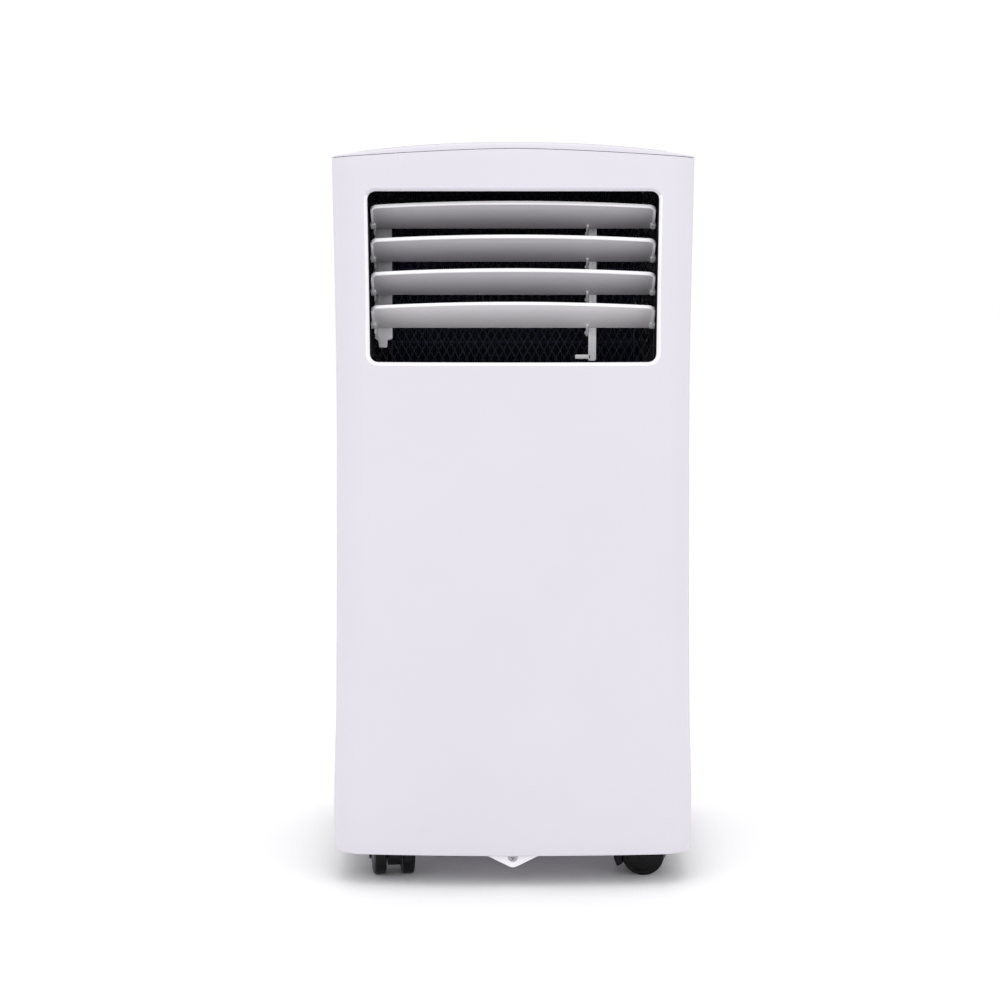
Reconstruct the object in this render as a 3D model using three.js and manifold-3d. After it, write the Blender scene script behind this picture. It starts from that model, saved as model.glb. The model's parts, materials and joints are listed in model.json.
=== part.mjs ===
// Portable air conditioner, an upright cabinet on four casters.
// Millimetres, +Z up, the origin on the floor under the middle of the object. The front faces -Y.
import * as THREE from 'three';
import { mergeVertices } from 'three/addons/utils/BufferGeometryUtils.js';
import Module from 'manifold-3d';

const wasm = await Module();
wasm.setup();

// ---------------------------------------------------------------- driving dimensions
const FRONT_Y = -177.5;        // front face at the middle
const FRONT_BOW = 7;           // the front face falls back by this at x = 145
const BACK_Y = 165;            // rear face of the rear shell
const REAR_END = 177.5;        // end of the exhaust collar, the rearmost point
const HALF_W = 172.5;          // half width at the top
const R_FRONT = 32;            // front vertical corners
const R_BACK = 24;             // rear vertical corners
const WALL = 3;                // moulded wall
const GAP = 0.3;               // gap between neighbouring pieces
const Z_SKIRT = 18.5;          // bottom edge of the cabinet
const Z_BASE = 93;             // seam between base pan and rear shell
const SEAM_Y = -149;           // seam between front panel and rear shell
const CROWN_Z = 703;           // highest point of the top cover
const FLOOR_Z = 56;            // underside of the base pan's floor
const OUT_X = 136.9;           // half width of the outlet opening
const OUT_Z0 = 496.5;
const OUT_Z1 = 657.5;
const OUT_R = 8;
const LOUVER_PITCH = 31.7;
const LOUVER_PIVOT_Y = -130;
const LOUVER_PIVOT_Z = 625;    // top louver; the others follow a pitch apart
const LOUVER_TILT = 34;        // rest angle above level, degrees
const LOUVER_CHORD = 34;       // pivot to front edge, at the ends
const LOUVER_BOW = 7;          // extra chord at the middle
const LOUVER_END = 135.4;      // half length of a blade
const LINK_R = 15;             // pivot to link pin
const LINK_X = 76.7;           // middle of the link bar
const LUG = [-133.6, -116.6];  // crank lug, from and to in x
const LUG_Y = 16;              // crank lug behind the pivot
const WHEEL_R = 21;
const WHEEL_W = 12.5;
const CASTER_TRAIL = 11.5;
const LIFT = 12.5;             // how far everything above the casters is raised over the heights given here
const CASTER_X = 120;
const CASTER_Y = 112;
const EXHAUST_Z = 328;
const EXHAUST_R = 62;          // bore of the exhaust collar

// half width of the cabinet over its height: a slight waist and a flared foot
const WIDTHS = [[18.5, 174.4], [60, 175], [165, 172.4], [358, 170.4], [455, 169.7], [703, 172.7]];
function halfWidth(z) {
  if (z <= WIDTHS[0][0]) return WIDTHS[0][1];
  for (let i = 1; i < WIDTHS.length; i++) {
    if (z <= WIDTHS[i][0]) {
      const [a, wa] = WIDTHS[i - 1], [b, wb] = WIDTHS[i];
      return wa + (wb - wa) * (z - a) / (b - a);
    }
  }
  return WIDTHS[WIDTHS.length - 1][1];
}
const seamTop = (x) => 697.2 - 8.4 * Math.pow(Math.min(1, Math.abs(x) / HALF_W), 1.5);   // top edge of the front panel
const crown = (x) => CROWN_Z - 12.6 * Math.pow(Math.min(1, Math.abs(x) / HALF_W), 2.3);  // top of the top cover
const frontY = (x) => FRONT_Y + FRONT_BOW * (x / 145) * (x / 145);

// ---------------------------------------------------------------- solids
function solid(geometry) {
  const g = geometry.index ? geometry.clone() : geometry.clone();
  g.deleteAttribute('normal');
  if (g.attributes.uv) g.deleteAttribute('uv');
  const m = mergeVertices(g, 1e-3);
  return new wasm.Manifold(new wasm.Mesh({
    numProp: 3,
    vertProperties: new Float32Array(m.attributes.position.array),
    triVerts: new Uint32Array(m.index.array),
  }));
}
function toGeometry(body) {
  const mesh = body.getMesh();
  const g = new THREE.BufferGeometry();
  g.setAttribute('position', new THREE.BufferAttribute(new Float32Array(mesh.vertProperties), 3));
  g.setIndex(new THREE.BufferAttribute(new Uint32Array(mesh.triVerts), 1));
  g.computeVertexNormals();
  return g;
}
const box = (x0, y0, z0, x1, y1, z1) => {
  const g = new THREE.BoxGeometry(x1 - x0, y1 - y0, z1 - z0);
  g.translate((x0 + x1) / 2, (y0 + y1) / 2, (z0 + z1) / 2);
  return solid(g);
};
// a cylinder along an axis from a to b, at the other two coordinates
function cyl(axis, r, a, b, u, v, seg = 12, r2 = r) {
  const g = new THREE.CylinderGeometry(r2, r, b - a, seg);   // along Y, r at the low end
  if (axis === 'z') { g.rotateX(Math.PI / 2); g.translate(u, v, (a + b) / 2); }
  if (axis === 'x') { g.rotateZ(-Math.PI / 2); g.translate((a + b) / 2, u, v); }
  if (axis === 'y') { g.translate(u, (a + b) / 2, v); }
  return solid(g);
}
// a lathe of [radius, height] pairs, along Z or another axis
function lathe(points, seg = 16) {
  return solid(new THREE.LatheGeometry(points.map(([r, h]) => new THREE.Vector2(r, h)), seg));
}
const along = (body, axis) => axis === 'z' ? body.rotate([90, 0, 0]) : axis === 'x' ? body.rotate([0, 0, -90]) : body;
const at = (body, x, y, z) => body.translate([x, y, z]);
// an outline extruded along Z from z0 to z1
function prism(points, z0, z1, holes = [], steps = 1) {
  const shape = new THREE.Shape(points.map(([x, y]) => new THREE.Vector2(x, y)));
  for (const h of holes) shape.holes.push(new THREE.Path(h.map(([x, y]) => new THREE.Vector2(x, y))));
  const g = new THREE.ExtrudeGeometry(shape, { depth: z1 - z0, bevelEnabled: false, steps });
  g.translate(0, 0, z0);
  return solid(g);
}
// an outline in X and Z extruded along Y from y0 to y1
const prismY = (points, y0, y1, holes = []) => {
  const flip = (p) => p.map(([x, z]) => [x, z]);
  return prism(flip(points), -y1, -y0, holes.map(flip)).rotate([90, 0, 0]);
};
// an outline in Y and Z extruded along X from x0 to x1
const prismX = (points, x0, x1, holes = []) =>
  prism(points, x0, x1, holes).rotate([90, 0, 0]).rotate([0, 0, 90]);
function roundRect(x0, y0, x1, y1, r, n = 4) {
  const out = [];
  for (const [cx, cy, a] of [[x1 - r, y0 + r, -90], [x1 - r, y1 - r, 0], [x0 + r, y1 - r, 90], [x0 + r, y0 + r, 180]]) {
    for (let i = 0; i <= n; i++) {
      const t = (a + 90 * i / n) * Math.PI / 180;
      out.push([cx + r * Math.cos(t), cy + r * Math.sin(t)]);
    }
  }
  return out;
}
const union = (...list) => list.reduce((a, b) => a.add(b));

// ---------------------------------------------------------------- cabinet outline
function plan(inset) {
  const w = HALF_W - inset, rf = R_FRONT - inset, rb = R_BACK - inset;
  const cx = HALF_W - R_FRONT, cy = frontY(cx) + R_FRONT;
  const half = [];
  for (const x of [0, 55, 105]) half.push([x, frontY(x) + inset]);
  const a0 = Math.atan2(-1, 2 * FRONT_BOW * cx / 145 / 145);
  for (let i = 0; i <= 5; i++) {
    const t = a0 + (0 - a0) * i / 5;
    half.push([cx + rf * Math.cos(t), cy + rf * Math.sin(t)]);
  }
  half[half.length - 1][0] = w;
  const bx = HALF_W - R_BACK, by = BACK_Y - R_BACK;
  for (let i = 0; i <= 3; i++) {
    const t = Math.PI / 2 * i / 3;
    half.push([bx + rb * Math.cos(t), by + rb * Math.sin(t)]);
  }
  const left = half.slice(1).reverse().map(([x, y]) => [-x, y]);
  return [...half, ...left];
}
// the cabinet's solid between two heights, its width following the profile
function cabinet(inset, z0, z1) {
  const shape = new THREE.Shape(plan(inset).map(([x, y]) => new THREE.Vector2(x, y)));
  const levels = [z0, ...WIDTHS.map((w) => w[0]).filter((z) => z > z0 + 4 && z < z1 - 4), z1];
  const g = new THREE.ExtrudeGeometry(shape, { depth: levels.length - 1, bevelEnabled: false, steps: levels.length - 1 });
  const p = g.attributes.position;
  for (let i = 0; i < p.count; i++) {
    const z = levels[Math.round(p.getZ(i))];
    p.setZ(i, z);
    p.setX(i, p.getX(i) * (halfWidth(z) - inset) / (HALF_W - inset));
  }
  return solid(g);
}
// everything under the curve z = f(x) + offset, for |x| < 200
function under(f, offset) {
  const pts = [[-200, -20], [200, -20]];
  for (const x of [200, 172.5, 140, 95, 50, 0, -50, -95, -140, -172.5, -200]) pts.push([x, f(x) + offset]);
  return prismY(pts, -250, 250);
}

const assembly = new THREE.Group();
const materials = {
  cabinet: [0xe8e6ee, 0.42, 0], louver: [0xdcdbe2, 0.4, 0], lip: [0xf2f1f6, 0.35, 0], dark: [0x2a2b2e, 0.5, 0],
  steel: [0xb4b6ba, 0.35, 0.9], copper: [0xb87333, 0.35, 0.9], fins: [0x4f83c4, 0.4, 0.5], black: [0x101012, 0.22, 0],
  rubber: [0x1c1c1e, 0.85, 0], grey: [0x9a9aa2, 0.5, 0], board: [0x1f6b3a, 0.5, 0], paint: [0x202226, 0.4, 0.3], glass: [0x08090b, 0.08, 0],
};
function piece(name, body, kind, parent = assembly) {
  const [color, roughness, metalness] = materials[kind];
  const geometry = body.isBufferGeometry ? body : toGeometry(body);
  const mesh = new THREE.Mesh(geometry, new THREE.MeshStandardMaterial({ color, roughness, metalness }));
  mesh.name = name;
  parent.add(mesh);
  return mesh;
}

// ---------------------------------------------------------------- cabinet shells
const outer = cabinet(0, Z_SKIRT, 703);
const inner = cabinet(WALL, 10, 710);
const wall = outer.subtract(inner);
const frontRegion = box(-200, -250, 0, 200, SEAM_Y, 720);
const rearRegion = box(-200, SEAM_Y + GAP, 0, 200, 250, 720);

// front panel: wraps round both front corners, with the outlet opening
{
  let p = wall.intersect(frontRegion).intersect(under(seamTop, 0));
  p = p.subtract(prismY(roundRect(-OUT_X, OUT_Z0, OUT_X, OUT_Z1, OUT_R, 3), -250, -100));
  piece('front_panel', p, 'cabinet');
}
// rear shell: sides and back in one moulding, with a hand recess in each side
const UP_GRILLE = [-128, 436, 128, 654], LOW_GRILLE = [-128, 104, 128, 240];
const HAND = [-10, 572, 100, 616];                 // hand recess: y0, z0, y1, z1
{
  let p = wall.intersect(rearRegion).intersect(box(-200, -250, Z_BASE + GAP, 200, 250, 720)).intersect(under(seamTop, 0));
  for (const [x0, z0, x1, z1] of [UP_GRILLE, LOW_GRILLE]) p = p.subtract(prismY(roundRect(x0, z0, x1, z1, 6, 2), 150, 180));
  p = p.subtract(cyl('y', 71.4, 150, 180, 0, EXHAUST_Z, 24));
  for (const s of [-1, 1]) {
    const [y0, z0, y1, z1] = HAND;
    const cup = box(148, y0 - 2.5, z0 - 2.5, 171, y1 + 2.5, z1 + 2.5);
    const hollow = box(150.5, y0, z0, 190, y1, z1);
    const side = (b) => s > 0 ? b : b.mirror([1, 0, 0]);
    p = p.add(side(cup).intersect(outer)).subtract(side(hollow));
  }
  p = p.subtract(cyl('y', 7, 150, 180, 128, 400, 12));           // middle drain
  p = p.subtract(cyl('y', 8, 150, 180, -128, 128 + 130, 12));    // cord gland
  piece('rear_shell', p, 'cabinet');
}
// top cover: a crowned lid with a rim that drops inside the walls
const PANEL = [-104, -118, 104, -56];              // control panel in the lid
{
  const top = under(crown, 0).intersect(cabinet(0, 600, 710));
  let p = top.subtract(under(seamTop, GAP));
  p = p.subtract(under(crown, -WALL).intersect(cabinet(WALL + 6, 600, 710)));
  const rim = cabinet(WALL + GAP, 676, 699).subtract(cabinet(WALL + GAP + 2.4, 670, 705)).intersect(under(crown, -2));
  p = p.add(rim);
  // seat for the control panel
  const [x0, y0, x1, y1] = PANEL;
  p = p.add(prism(roundRect(x0 - 3, y0 - 3, x1 + 3, y1 + 3, 9, 3), 684, 700).intersect(under(crown, -1)));
  p = p.subtract(prism(roundRect(x0, y0, x1, y1, 6, 3), 686.5, 710));
  piece('top_cover', p, 'cabinet');
}
// control panel, display window and six push buttons
const BUTTONS = [['power', -84], ['mode', -60], ['fan', -36], ['timer', 36], ['up', 60], ['down', 84]];
{
  const [x0, y0, x1, y1] = PANEL;
  let p = prism(roundRect(x0 + GAP, y0 + GAP, x1 - GAP, y1 - GAP, 5.7, 3), 686.8, 696.5);
  p = p.subtract(prism(roundRect(-24, -104, 24, -70, 4, 2), 693, 710));
  for (const [, x] of BUTTONS) p = p.subtract(cyl('z', 8.5, 689.5, 710, x, -87, 12));
  piece('control_panel', p, 'dark');
  piece('display_window', prism(roundRect(-23.7, -103.7, 23.7, -70.3, 3.7, 2), 693.3, 696.8), 'glass');
  for (const [name, x] of BUTTONS) piece(`button_${name}`, at(along(lathe([[0, 0], [8, 0], [8, 5.8], [7, 6.8], [0, 6.8]], 12), 'z'), x, -87, 691.3), 'grey');
}
// base pan: floor with caster wells under it, skirt, and the lock tab at the bottom of the front
const CASTERS = [['front_left', -CASTER_X, -CASTER_Y, 279], ['front_right', CASTER_X, -CASTER_Y, 350], ['rear_left', -CASTER_X, CASTER_Y - 14, 150], ['rear_right', CASTER_X, CASTER_Y - 14, 40]];
{
  const skirt = wall.intersect(rearRegion).intersect(box(-200, -250, Z_SKIRT, 200, 250, Z_BASE));
  const floor = cabinet(WALL - 1, FLOOR_Z, FLOOR_Z + 4).intersect(box(-200, SEAM_Y + GAP, 0, 200, 250, 720));
  const floorFront = cabinet(WALL + GAP, FLOOR_Z, FLOOR_Z + 4).intersect(box(-200, -250, 0, 200, SEAM_Y + 2, 720));
  let p = union(skirt, floor, floorFront);
  p = p.add(box(-120, 100, FLOOR_Z + 3, 120, 103, 70));          // sump wall in front of the condenser
  // lock tab: drops from the floor behind the front panel and shows below it
  const tab = prismY([[0, 5], [26, 17.9], [30, 19], [30, FLOOR_Z + 1], [-30, FLOOR_Z + 1], [-30, 19], [-26, 17.9]], -171.7, -168.6);
  p = p.add(tab).subtract(cyl('y', 2.2, -180, -165, 0, 16.2, 10));
  for (const [, x, y] of CASTERS) p = p.add(cyl('z', 9, FLOOR_Z + 1, 71, x, y, 10)).subtract(cyl('z', 5.5, 40, 68, x, y, 8));
  p = p.subtract(cyl('y', 7, 150, 180, 0, 76, 12));              // bottom drain
  piece('base_pan', p, 'cabinet');
}
piece('front_tab_screw', union(
  along(lathe([[0, 0], [1.8, 0], [1.8, 11.2], [4.6, 11.2], [4.2, 12.6], [2.6, 13.3], [0, 13.4]], 12), 'y').rotate([0, 0, 180]).translate([0, -160.6, 16.2]),
), 'steel');

// ---------------------------------------------------------------- outlet: louver frame, louvers, link bar, guard
const rad = Math.PI / 180;
const DUCT_IN = 137.6, DUCT_WALL = 2.2, DUCT_Z0 = 482.5, DUCT_Z1 = 671, DUCT_BACK = -99;
{
  const t = DUCT_WALL;
  // sleeve behind the opening, its front edge following the bow of the front panel
  const sleeve = prismY(roundRect(-DUCT_IN - t, DUCT_Z0 - t, DUCT_IN + t, DUCT_Z1 + t, 7, 2), -168, DUCT_BACK)
    .subtract(prismY(roundRect(-DUCT_IN, DUCT_Z0, DUCT_IN, DUCT_Z1, 5, 2), -180, -90));
  let p = sleeve.intersect(cabinet(WALL + 0.4, 400, 700));
  p = p.add(prismY(roundRect(-DUCT_IN - 9, DUCT_Z0 - 9, DUCT_IN + 9, DUCT_Z1 + 9, 10, 2), -104, DUCT_BACK,
    [roundRect(-DUCT_IN, DUCT_Z0, DUCT_IN, DUCT_Z1, 5, 2).reverse()]));
  for (let i = 0; i < 4; i++) {
    const z = LOUVER_PIVOT_Z - LOUVER_PITCH * i;
    p = p.subtract(cyl('x', 2.5, -150, 150, LOUVER_PIVOT_Y, z, 10));
  }
  piece('louver_frame', p, 'grey');
}
// one blade about its pivot at the origin: front edge towards -Y, level
function blade() {
  const front = (x) => -(LOUVER_CHORD + LOUVER_BOW * (1 - (x / LOUVER_END) * (x / LOUVER_END)));
  const outline = (e, r) => {
    const w = LOUVER_END - e, pts = [[-w, 4], [w, 4]];
    pts.push([w, front(w) + e + r], [w - r * 0.3, front(w) + e + r * 0.3], [w - r, front(w - r) + e]);
    for (const x of [90, 45, 0, -45, -90]) pts.push([x, front(x) + e]);
    pts.push([-w + r, front(w - r) + e], [-w + r * 0.3, front(w) + e + r * 0.3], [-w, front(w) + e + r]);
    return pts.reverse().reverse();
  };
  let p = prism(outline(0, 7), -1.2, 0.9);
  const rim = prism(outline(0, 7), -2.6, 0.9).subtract(prism(outline(2.4, 6), -5, -1.0)).subtract(box(-200, -6, -5, 200, 10, 5));
  p = p.add(rim);
  p = p.add(cyl('x', 1.9, -LOUVER_END - 4.4, LOUVER_END + 4.4, 0, 0, 8));
  p = p.add(cyl('x', 2.2, -LOUVER_END, LOUVER_END, 0, 0, 8));
  // tail lug with the link pin's hole
  p = p.add(box(LINK_X - 6.4, -2, -2, LINK_X - 4.4, LINK_R + 3.4, 2).subtract(cyl('x', 1.9, LINK_X - 12, LINK_X, LINK_R, 0, 8)));
  p = p.rotate([-LOUVER_TILT, 0, 0]);
  // crank lug at the left end: a web back from the pivot, then a stepped plate hanging down behind the blade
  p = p.add(box(LUG[0], 0.5, -1.2, LUG[1], LUG_Y + 1.2, 1.2));
  p = p.add(box(LUG[0], LUG_Y - 1.2, -15.5, LUG[1], LUG_Y + 1.2, 1.2));
  p = p.add(box(LUG[0] + 3, LUG_Y - 1.2, -23, LUG[1] - 5, LUG_Y + 1.2, -15));
  return p;
}
for (let i = 0; i < 4; i++) {
  const m = piece(`louver_${i + 1}`, blade(), 'louver');
  m.position.set(0, LOUVER_PIVOT_Y, LOUVER_PIVOT_Z - LOUVER_PITCH * i);
}
// link bar: a flat strip with a pin into each blade's tail lug
const PIN_Y = LOUVER_PIVOT_Y + LINK_R * Math.cos(LOUVER_TILT * rad), PIN_DZ = -LINK_R * Math.sin(LOUVER_TILT * rad);
{
  const zTop = LOUVER_PIVOT_Z + PIN_DZ, zLow = zTop - 3 * LOUVER_PITCH;
  let p = box(LINK_X - 3.8, PIN_Y - 1.6, 494.3, LINK_X + 3.8, PIN_Y + 1.6, zTop + 6);
  p = p.add(box(LINK_X - 16.6, PIN_Y - 1.6, 496.1, LINK_X, PIN_Y + 1.6, 500.5));
  for (let i = 0; i < 4; i++) p = p.add(cyl('x', 1.4, LINK_X - 7.4, LINK_X - 2, PIN_Y, zTop - LOUVER_PITCH * i, 8));
  piece('louver_link_bar', p, 'lip');
}
// swing motor outside the sleeve, its shaft in line with the lowest blade
{
  const z = LOUVER_PIVOT_Z - 3 * LOUVER_PITCH, y = LOUVER_PIVOT_Y;
  let p = cyl('x', 11.5, -162, -146, y, z, 14).add(cyl('x', 2.2, -147, -141.3, y, z, 8));
  p = p.add(box(-148.5, y - 16, z - 4, -146, y + 16, z + 4));
  piece('swing_motor', p, 'steel');
}
// diamond mesh guard over the back of the sleeve
{
  const holes = [], w = 27, h = 18, t = 1.5;
  for (let r = -5; r <= 5; r++) for (let c = -6; c <= 6; c++) {
    const x = c * w * 1.3 + (r % 2 ? w * 0.65 : 0), z = (DUCT_Z0 + DUCT_Z1) / 2 + r * h * 1.32;
    if (Math.abs(x) + w * 0.65 > 136 || Math.abs(r) > 2) continue;
    const a = w * 0.65 - t, b = h * 1.32 - t;
    holes.push([[x - a, z], [x, z - b], [x + a, z], [x, z + b]].reverse());
  }
  piece('outlet_guard', prismY(roundRect(-DUCT_IN - 5, DUCT_Z0 - 5, DUCT_IN + 5, DUCT_Z1 + 5, 6, 2), -98.4, -97.0, holes), 'steel');
}

// ---------------------------------------------------------------- casters: a hood that swivels, a twin wheel that rolls
// about the swivel axis at the origin, trailing towards +X
function casterHood() {
  const c = CASTER_TRAIL;
  const arc = (r, a0, a1, n) => Array.from({ length: n + 1 }, (_, i) => {
    const t = (a0 + (a1 - a0) * i / n) * rad;
    return [c + r(t) * Math.cos(t), WHEEL_R + r(t) * Math.sin(t)];
  });
  // web between the wheels
  let p = prismY(arc(() => 16, 0, 320, 8), -7, 7).add(prismY([[-9, 34], [9, 32], [9, 53], [-9, 53]], -7, 7));
  // fender over the wheels, thicker towards its leading side
  const fender = [...arc((t) => 24.2 + 5 * Math.max(0, -Math.cos(t)), 60, 206, 8), ...arc(() => 21.6, 206, 60, 8)];
  p = p.add(prismY(fender, -21.4, 21.4));
  p = p.add(cyl('z', 8.5, 44, 55.6 + LIFT, 0, 0, 10)).add(cyl('z', 4.9, 50, 66 + LIFT, 0, 0, 8));
  return p.subtract(cyl('y', 4.3, -30, 30, c, WHEEL_R, 8));
}
function casterWheel() {
  const w0 = 8.2, w1 = 8.2 + WHEEL_W, r = WHEEL_R;
  const half = [[3.6, w0], [r, w0], [r, w1 - 2.4], [r - 2.4, w1], [0, w1]];
  const other = half.map(([a, b]) => [a, -b]).reverse();
  return lathe([...other, ...half], 18);
}
const hoodGeometry = toGeometry(casterHood()), wheelGeometry = toGeometry(casterWheel());
for (const [name, x, y, a] of CASTERS) {
  const g = new THREE.Group();
  g.position.set(x, y, 0);
  g.userData.caster = true;
  g.rotation.z = a * rad;
  assembly.add(g);
  piece(`caster_hood_${name}`, hoodGeometry, 'black', g);
  piece(`caster_wheel_${name}`, wheelGeometry, 'black', g).position.set(CASTER_TRAIL, 0, WHEEL_R);
}

// ---------------------------------------------------------------- inside, upper section
{
  // drain tray, the deck between the two sections
  let p = box(-158, -112, 396, 158, 152, 412).subtract(box(-155, -109, 399, 155, 149, 420));
  p = p.subtract(box(122, -90, 380, 150, -50, 420)).subtract(box(-150, 0, 380, -135, 30, 420));
  piece('drain_tray', p, 'grey');
}
{
  // evaporator behind the guard: fin block, end plates and return bends
  let p = box(-118, -92, 420, 118, -52, 664);
  for (const s of [-1, 1]) p = p.add(box(s > 0 ? 117 : -119.5, -93, 418, s > 0 ? 119.5 : -117, -50, 666));
  for (let i = 0; i < 5; i++) {
    const z = 440 + i * 48;
    p = p.add(box(118, -84, z, 126, -78, z + 24)).add(box(118, -66, z + 4, 126, -60, z + 28));
  }
  piece('evaporator_coil', p, 'fins');
}
{
  const cy = 46, cz = 540;
  // scroll housing, open to the front and at both ends
  const scroll = (grow) => {
    const out = [[-46 + (grow ? 4 : 0) - (grow ? 10 : 0), cz + 100 - grow], [-46 - (grow ? 6 : 0), cz + 20 + grow]];
    for (let i = 0; i <= 12; i++) {
      const t = (150 + 300 * i / 12) * rad, r = 70 + i * 2.0 - grow;
      out.push([cy + r * Math.cos(t) * 0.9, cz + r * Math.sin(t)]);
    }
    return out;
  };
  const full = prismX(scroll(0), -86, 86), hollow = prismX(scroll(2.5), -83.5, 83.5);
  const p = full.subtract(hollow).subtract(cyl('x', 50, -90, 90, cy, cz, 20));
  piece('upper_blower_housing', p, 'grey');
  const wheel = along(lathe([[0, 2], [56, 2], [56, -70], [59, -70], [59, 70], [56, 70], [56, 5], [0, 5]], 16), 'x').translate([0, cy, cz]);
  piece('upper_blower_wheel', wheel, 'black');
  piece('upper_blower_motor', cyl('x', 36, 92, 132, cy, cz, 14).add(cyl('x', 4, 5.6, 94, cy, cz, 8)).add(box(126, cy - 40, cz - 8, 130, cy + 40, cz + 8)), 'steel');
}

// ---------------------------------------------------------------- inside, lower section
const COMP = [88, -52];
{
  const [x, y] = COMP;
  let p = lathe([[0, 74], [44, 74], [56, 90], [56, 255], [48, 278], [30, 290], [0, 290]], 16).rotate([90, 0, 0]).translate([x, y, 0]);
  const foot = [];
  for (let i = 0; i < 3; i++) for (const d of [-14, 0, 14]) foot.push([x + (d ? 70 : 74) * Math.cos((90 + 120 * i + d) * rad), y + (d ? 70 : 74) * Math.sin((90 + 120 * i + d) * rad)]);
  p = p.add(prism(foot, 72, 76));
  p = p.add(box(x + 20, y - 12, 268, x + 46, y + 12, 290));      // terminal cover
  piece('compressor', p, 'paint');
  for (let i = 0; i < 3; i++) {
    const t = (90 + 120 * i) * rad;
    piece(`compressor_grommet_${i + 1}`, cyl('z', 9, FLOOR_Z + 4.3, 71.7, x + 62 * Math.cos(t), y + 62 * Math.sin(t), 10), 'rubber');
  }
  piece('accumulator', lathe([[0, 104], [14, 106], [22, 116], [22, 234], [8, 248], [5, 258], [0, 258]], 12).rotate([90, 0, 0]).translate([4, -66, 0]), 'paint');
}
{
  let p = box(-140, 108, 74, 138, 146, 250);
  for (const s of [-1, 1]) p = p.add(box(s > 0 ? 137 : -141.5, 107, 72, s > 0 ? 139.5 : -139, 148, 252));
  for (let i = 0; i < 4; i++) p = p.add(box(-148, 114, 86 + i * 40, -140, 120, 110 + i * 40)).add(box(-148, 132, 90 + i * 40, -140, 138, 114 + i * 40));
  piece('condenser_coil', p, 'steel');
}
{
  const cx = -42, cz = 178;
  const scroll = (grow) => {
    const out = [];
    for (let i = 0; i <= 8; i++) {
      const t = (180 + 180 * i / 8) * rad, r = 74 + i * 2.2 - grow;
      out.push([cx + r * Math.cos(t), cz + r * Math.sin(t)]);
    }
    out.push([cx + 94 - grow, 284 + (grow ? 6 : 0)], [cx + 4 + grow, 284 + (grow ? 6 : 0)], [cx - 40 + grow, cz + 78 - grow]);
    return out;
  };
  const p = prismY(scroll(0), 34, 92).subtract(prismY(scroll(2.5), 36.5, 89.5)).subtract(cyl('y', 48, 88, 96, cx, cz, 20)).subtract(cyl('y', 12, 30, 40, cx, cz, 12));
  piece('lower_blower_housing', p, 'grey');
  piece('lower_blower_wheel', along(lathe([[0, -21], [62, -21], [62, 20], [59, 20], [59, -18], [0, -18]], 16), 'y').translate([cx, 63, cz]), 'black');
  piece('lower_blower_motor', cyl('y', 38, -6, 30, cx, cz, 14).add(cyl('y', 5, 29, 41.2, cx, cz, 8)), 'steel');
}
{
  // duct from the lower blower to the exhaust collar
  const full = box(-78, 34, 286, 78, 154, 394).add(box(-78, 94, 262, 78, 154, 394));
  const hollow = box(-75.5, 36.5, 288.5, 75.5, 151.5, 391.5).add(box(-75.5, 96.5, 264.5, 75.5, 151.5, 391.5));
  const p = full.subtract(hollow).subtract(box(-36, 38, 280, 50, 88, 300)).subtract(cyl('y', EXHAUST_R, 148, 160, 0, EXHAUST_Z, 24));
  piece('exhaust_duct', p, 'grey');
}
{
  piece('slinger_wheel', along(lathe([[0, -2], [5, -2], [5, 0], [28, 0], [28, 4], [25.6, 4], [25.6, 1.8], [0, 1.8]], 14), 'y').translate([98, 99, 100]), 'black');
  piece('slinger_motor', cyl('y', 18, 56, 88, 98, 100, 14).add(cyl('y', 3, 87, 96.6, 98, 100, 8)).add(box(92, 60, 60.3, 104, 84, 86)), 'steel');
}
{
  // electrical box, open to the front, with the board and the capacitor in it
  const p = box(-160, -152, 250, -40, -90, 380).subtract(box(-157.5, -160, 252.5, -42.5, -92.5, 377.5));
  piece('electrical_box', p, 'steel');
  piece('circuit_board', union(box(-154, -100, 258, -80, -98.2, 372), box(-148, -112, 300, -124, -99, 330), box(-112, -108, 268, -92, -99, 288), box(-120, -106, 340, -86, -99, 362)), 'board');
  piece('capacitor', cyl('z', 15, 253, 330, -61, -112, 14).add(box(-64, -114, 329, -62, -110, 337)).add(box(-60, -114, 329, -58, -110, 337)), 'steel');
}
// pipes: a round section swept along a smooth run
function pipe(points, r, steps, seg = 8) {
  const curve = new THREE.CatmullRomCurve3(points.map((p) => new THREE.Vector3(...p)), false, 'catmullrom', 0.5);
  const section = new THREE.Shape(Array.from({ length: seg }, (_, i) => new THREE.Vector2(r * Math.cos(2 * Math.PI * i / seg), r * Math.sin(2 * Math.PI * i / seg))));
  return solid(new THREE.ExtrudeGeometry(section, { steps, bevelEnabled: false, extrudePath: curve }));
}
piece('discharge_pipe', pipe([[88, -52, 293], [88, -52, 312], [100, -30, 332], [118, 20, 330], [126, 80, 300], [126, 104, 270], [126, 124, 256]], 4, 12, 6), 'copper');
piece('suction_pipe', pipe([[136, -70, 430], [136, -70, 380], [120, -70, 345], [60, -66, 330], [14, -66, 310], [4, -66, 290], [4, -66, 259]], 5, 12, 6), 'copper');

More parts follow.
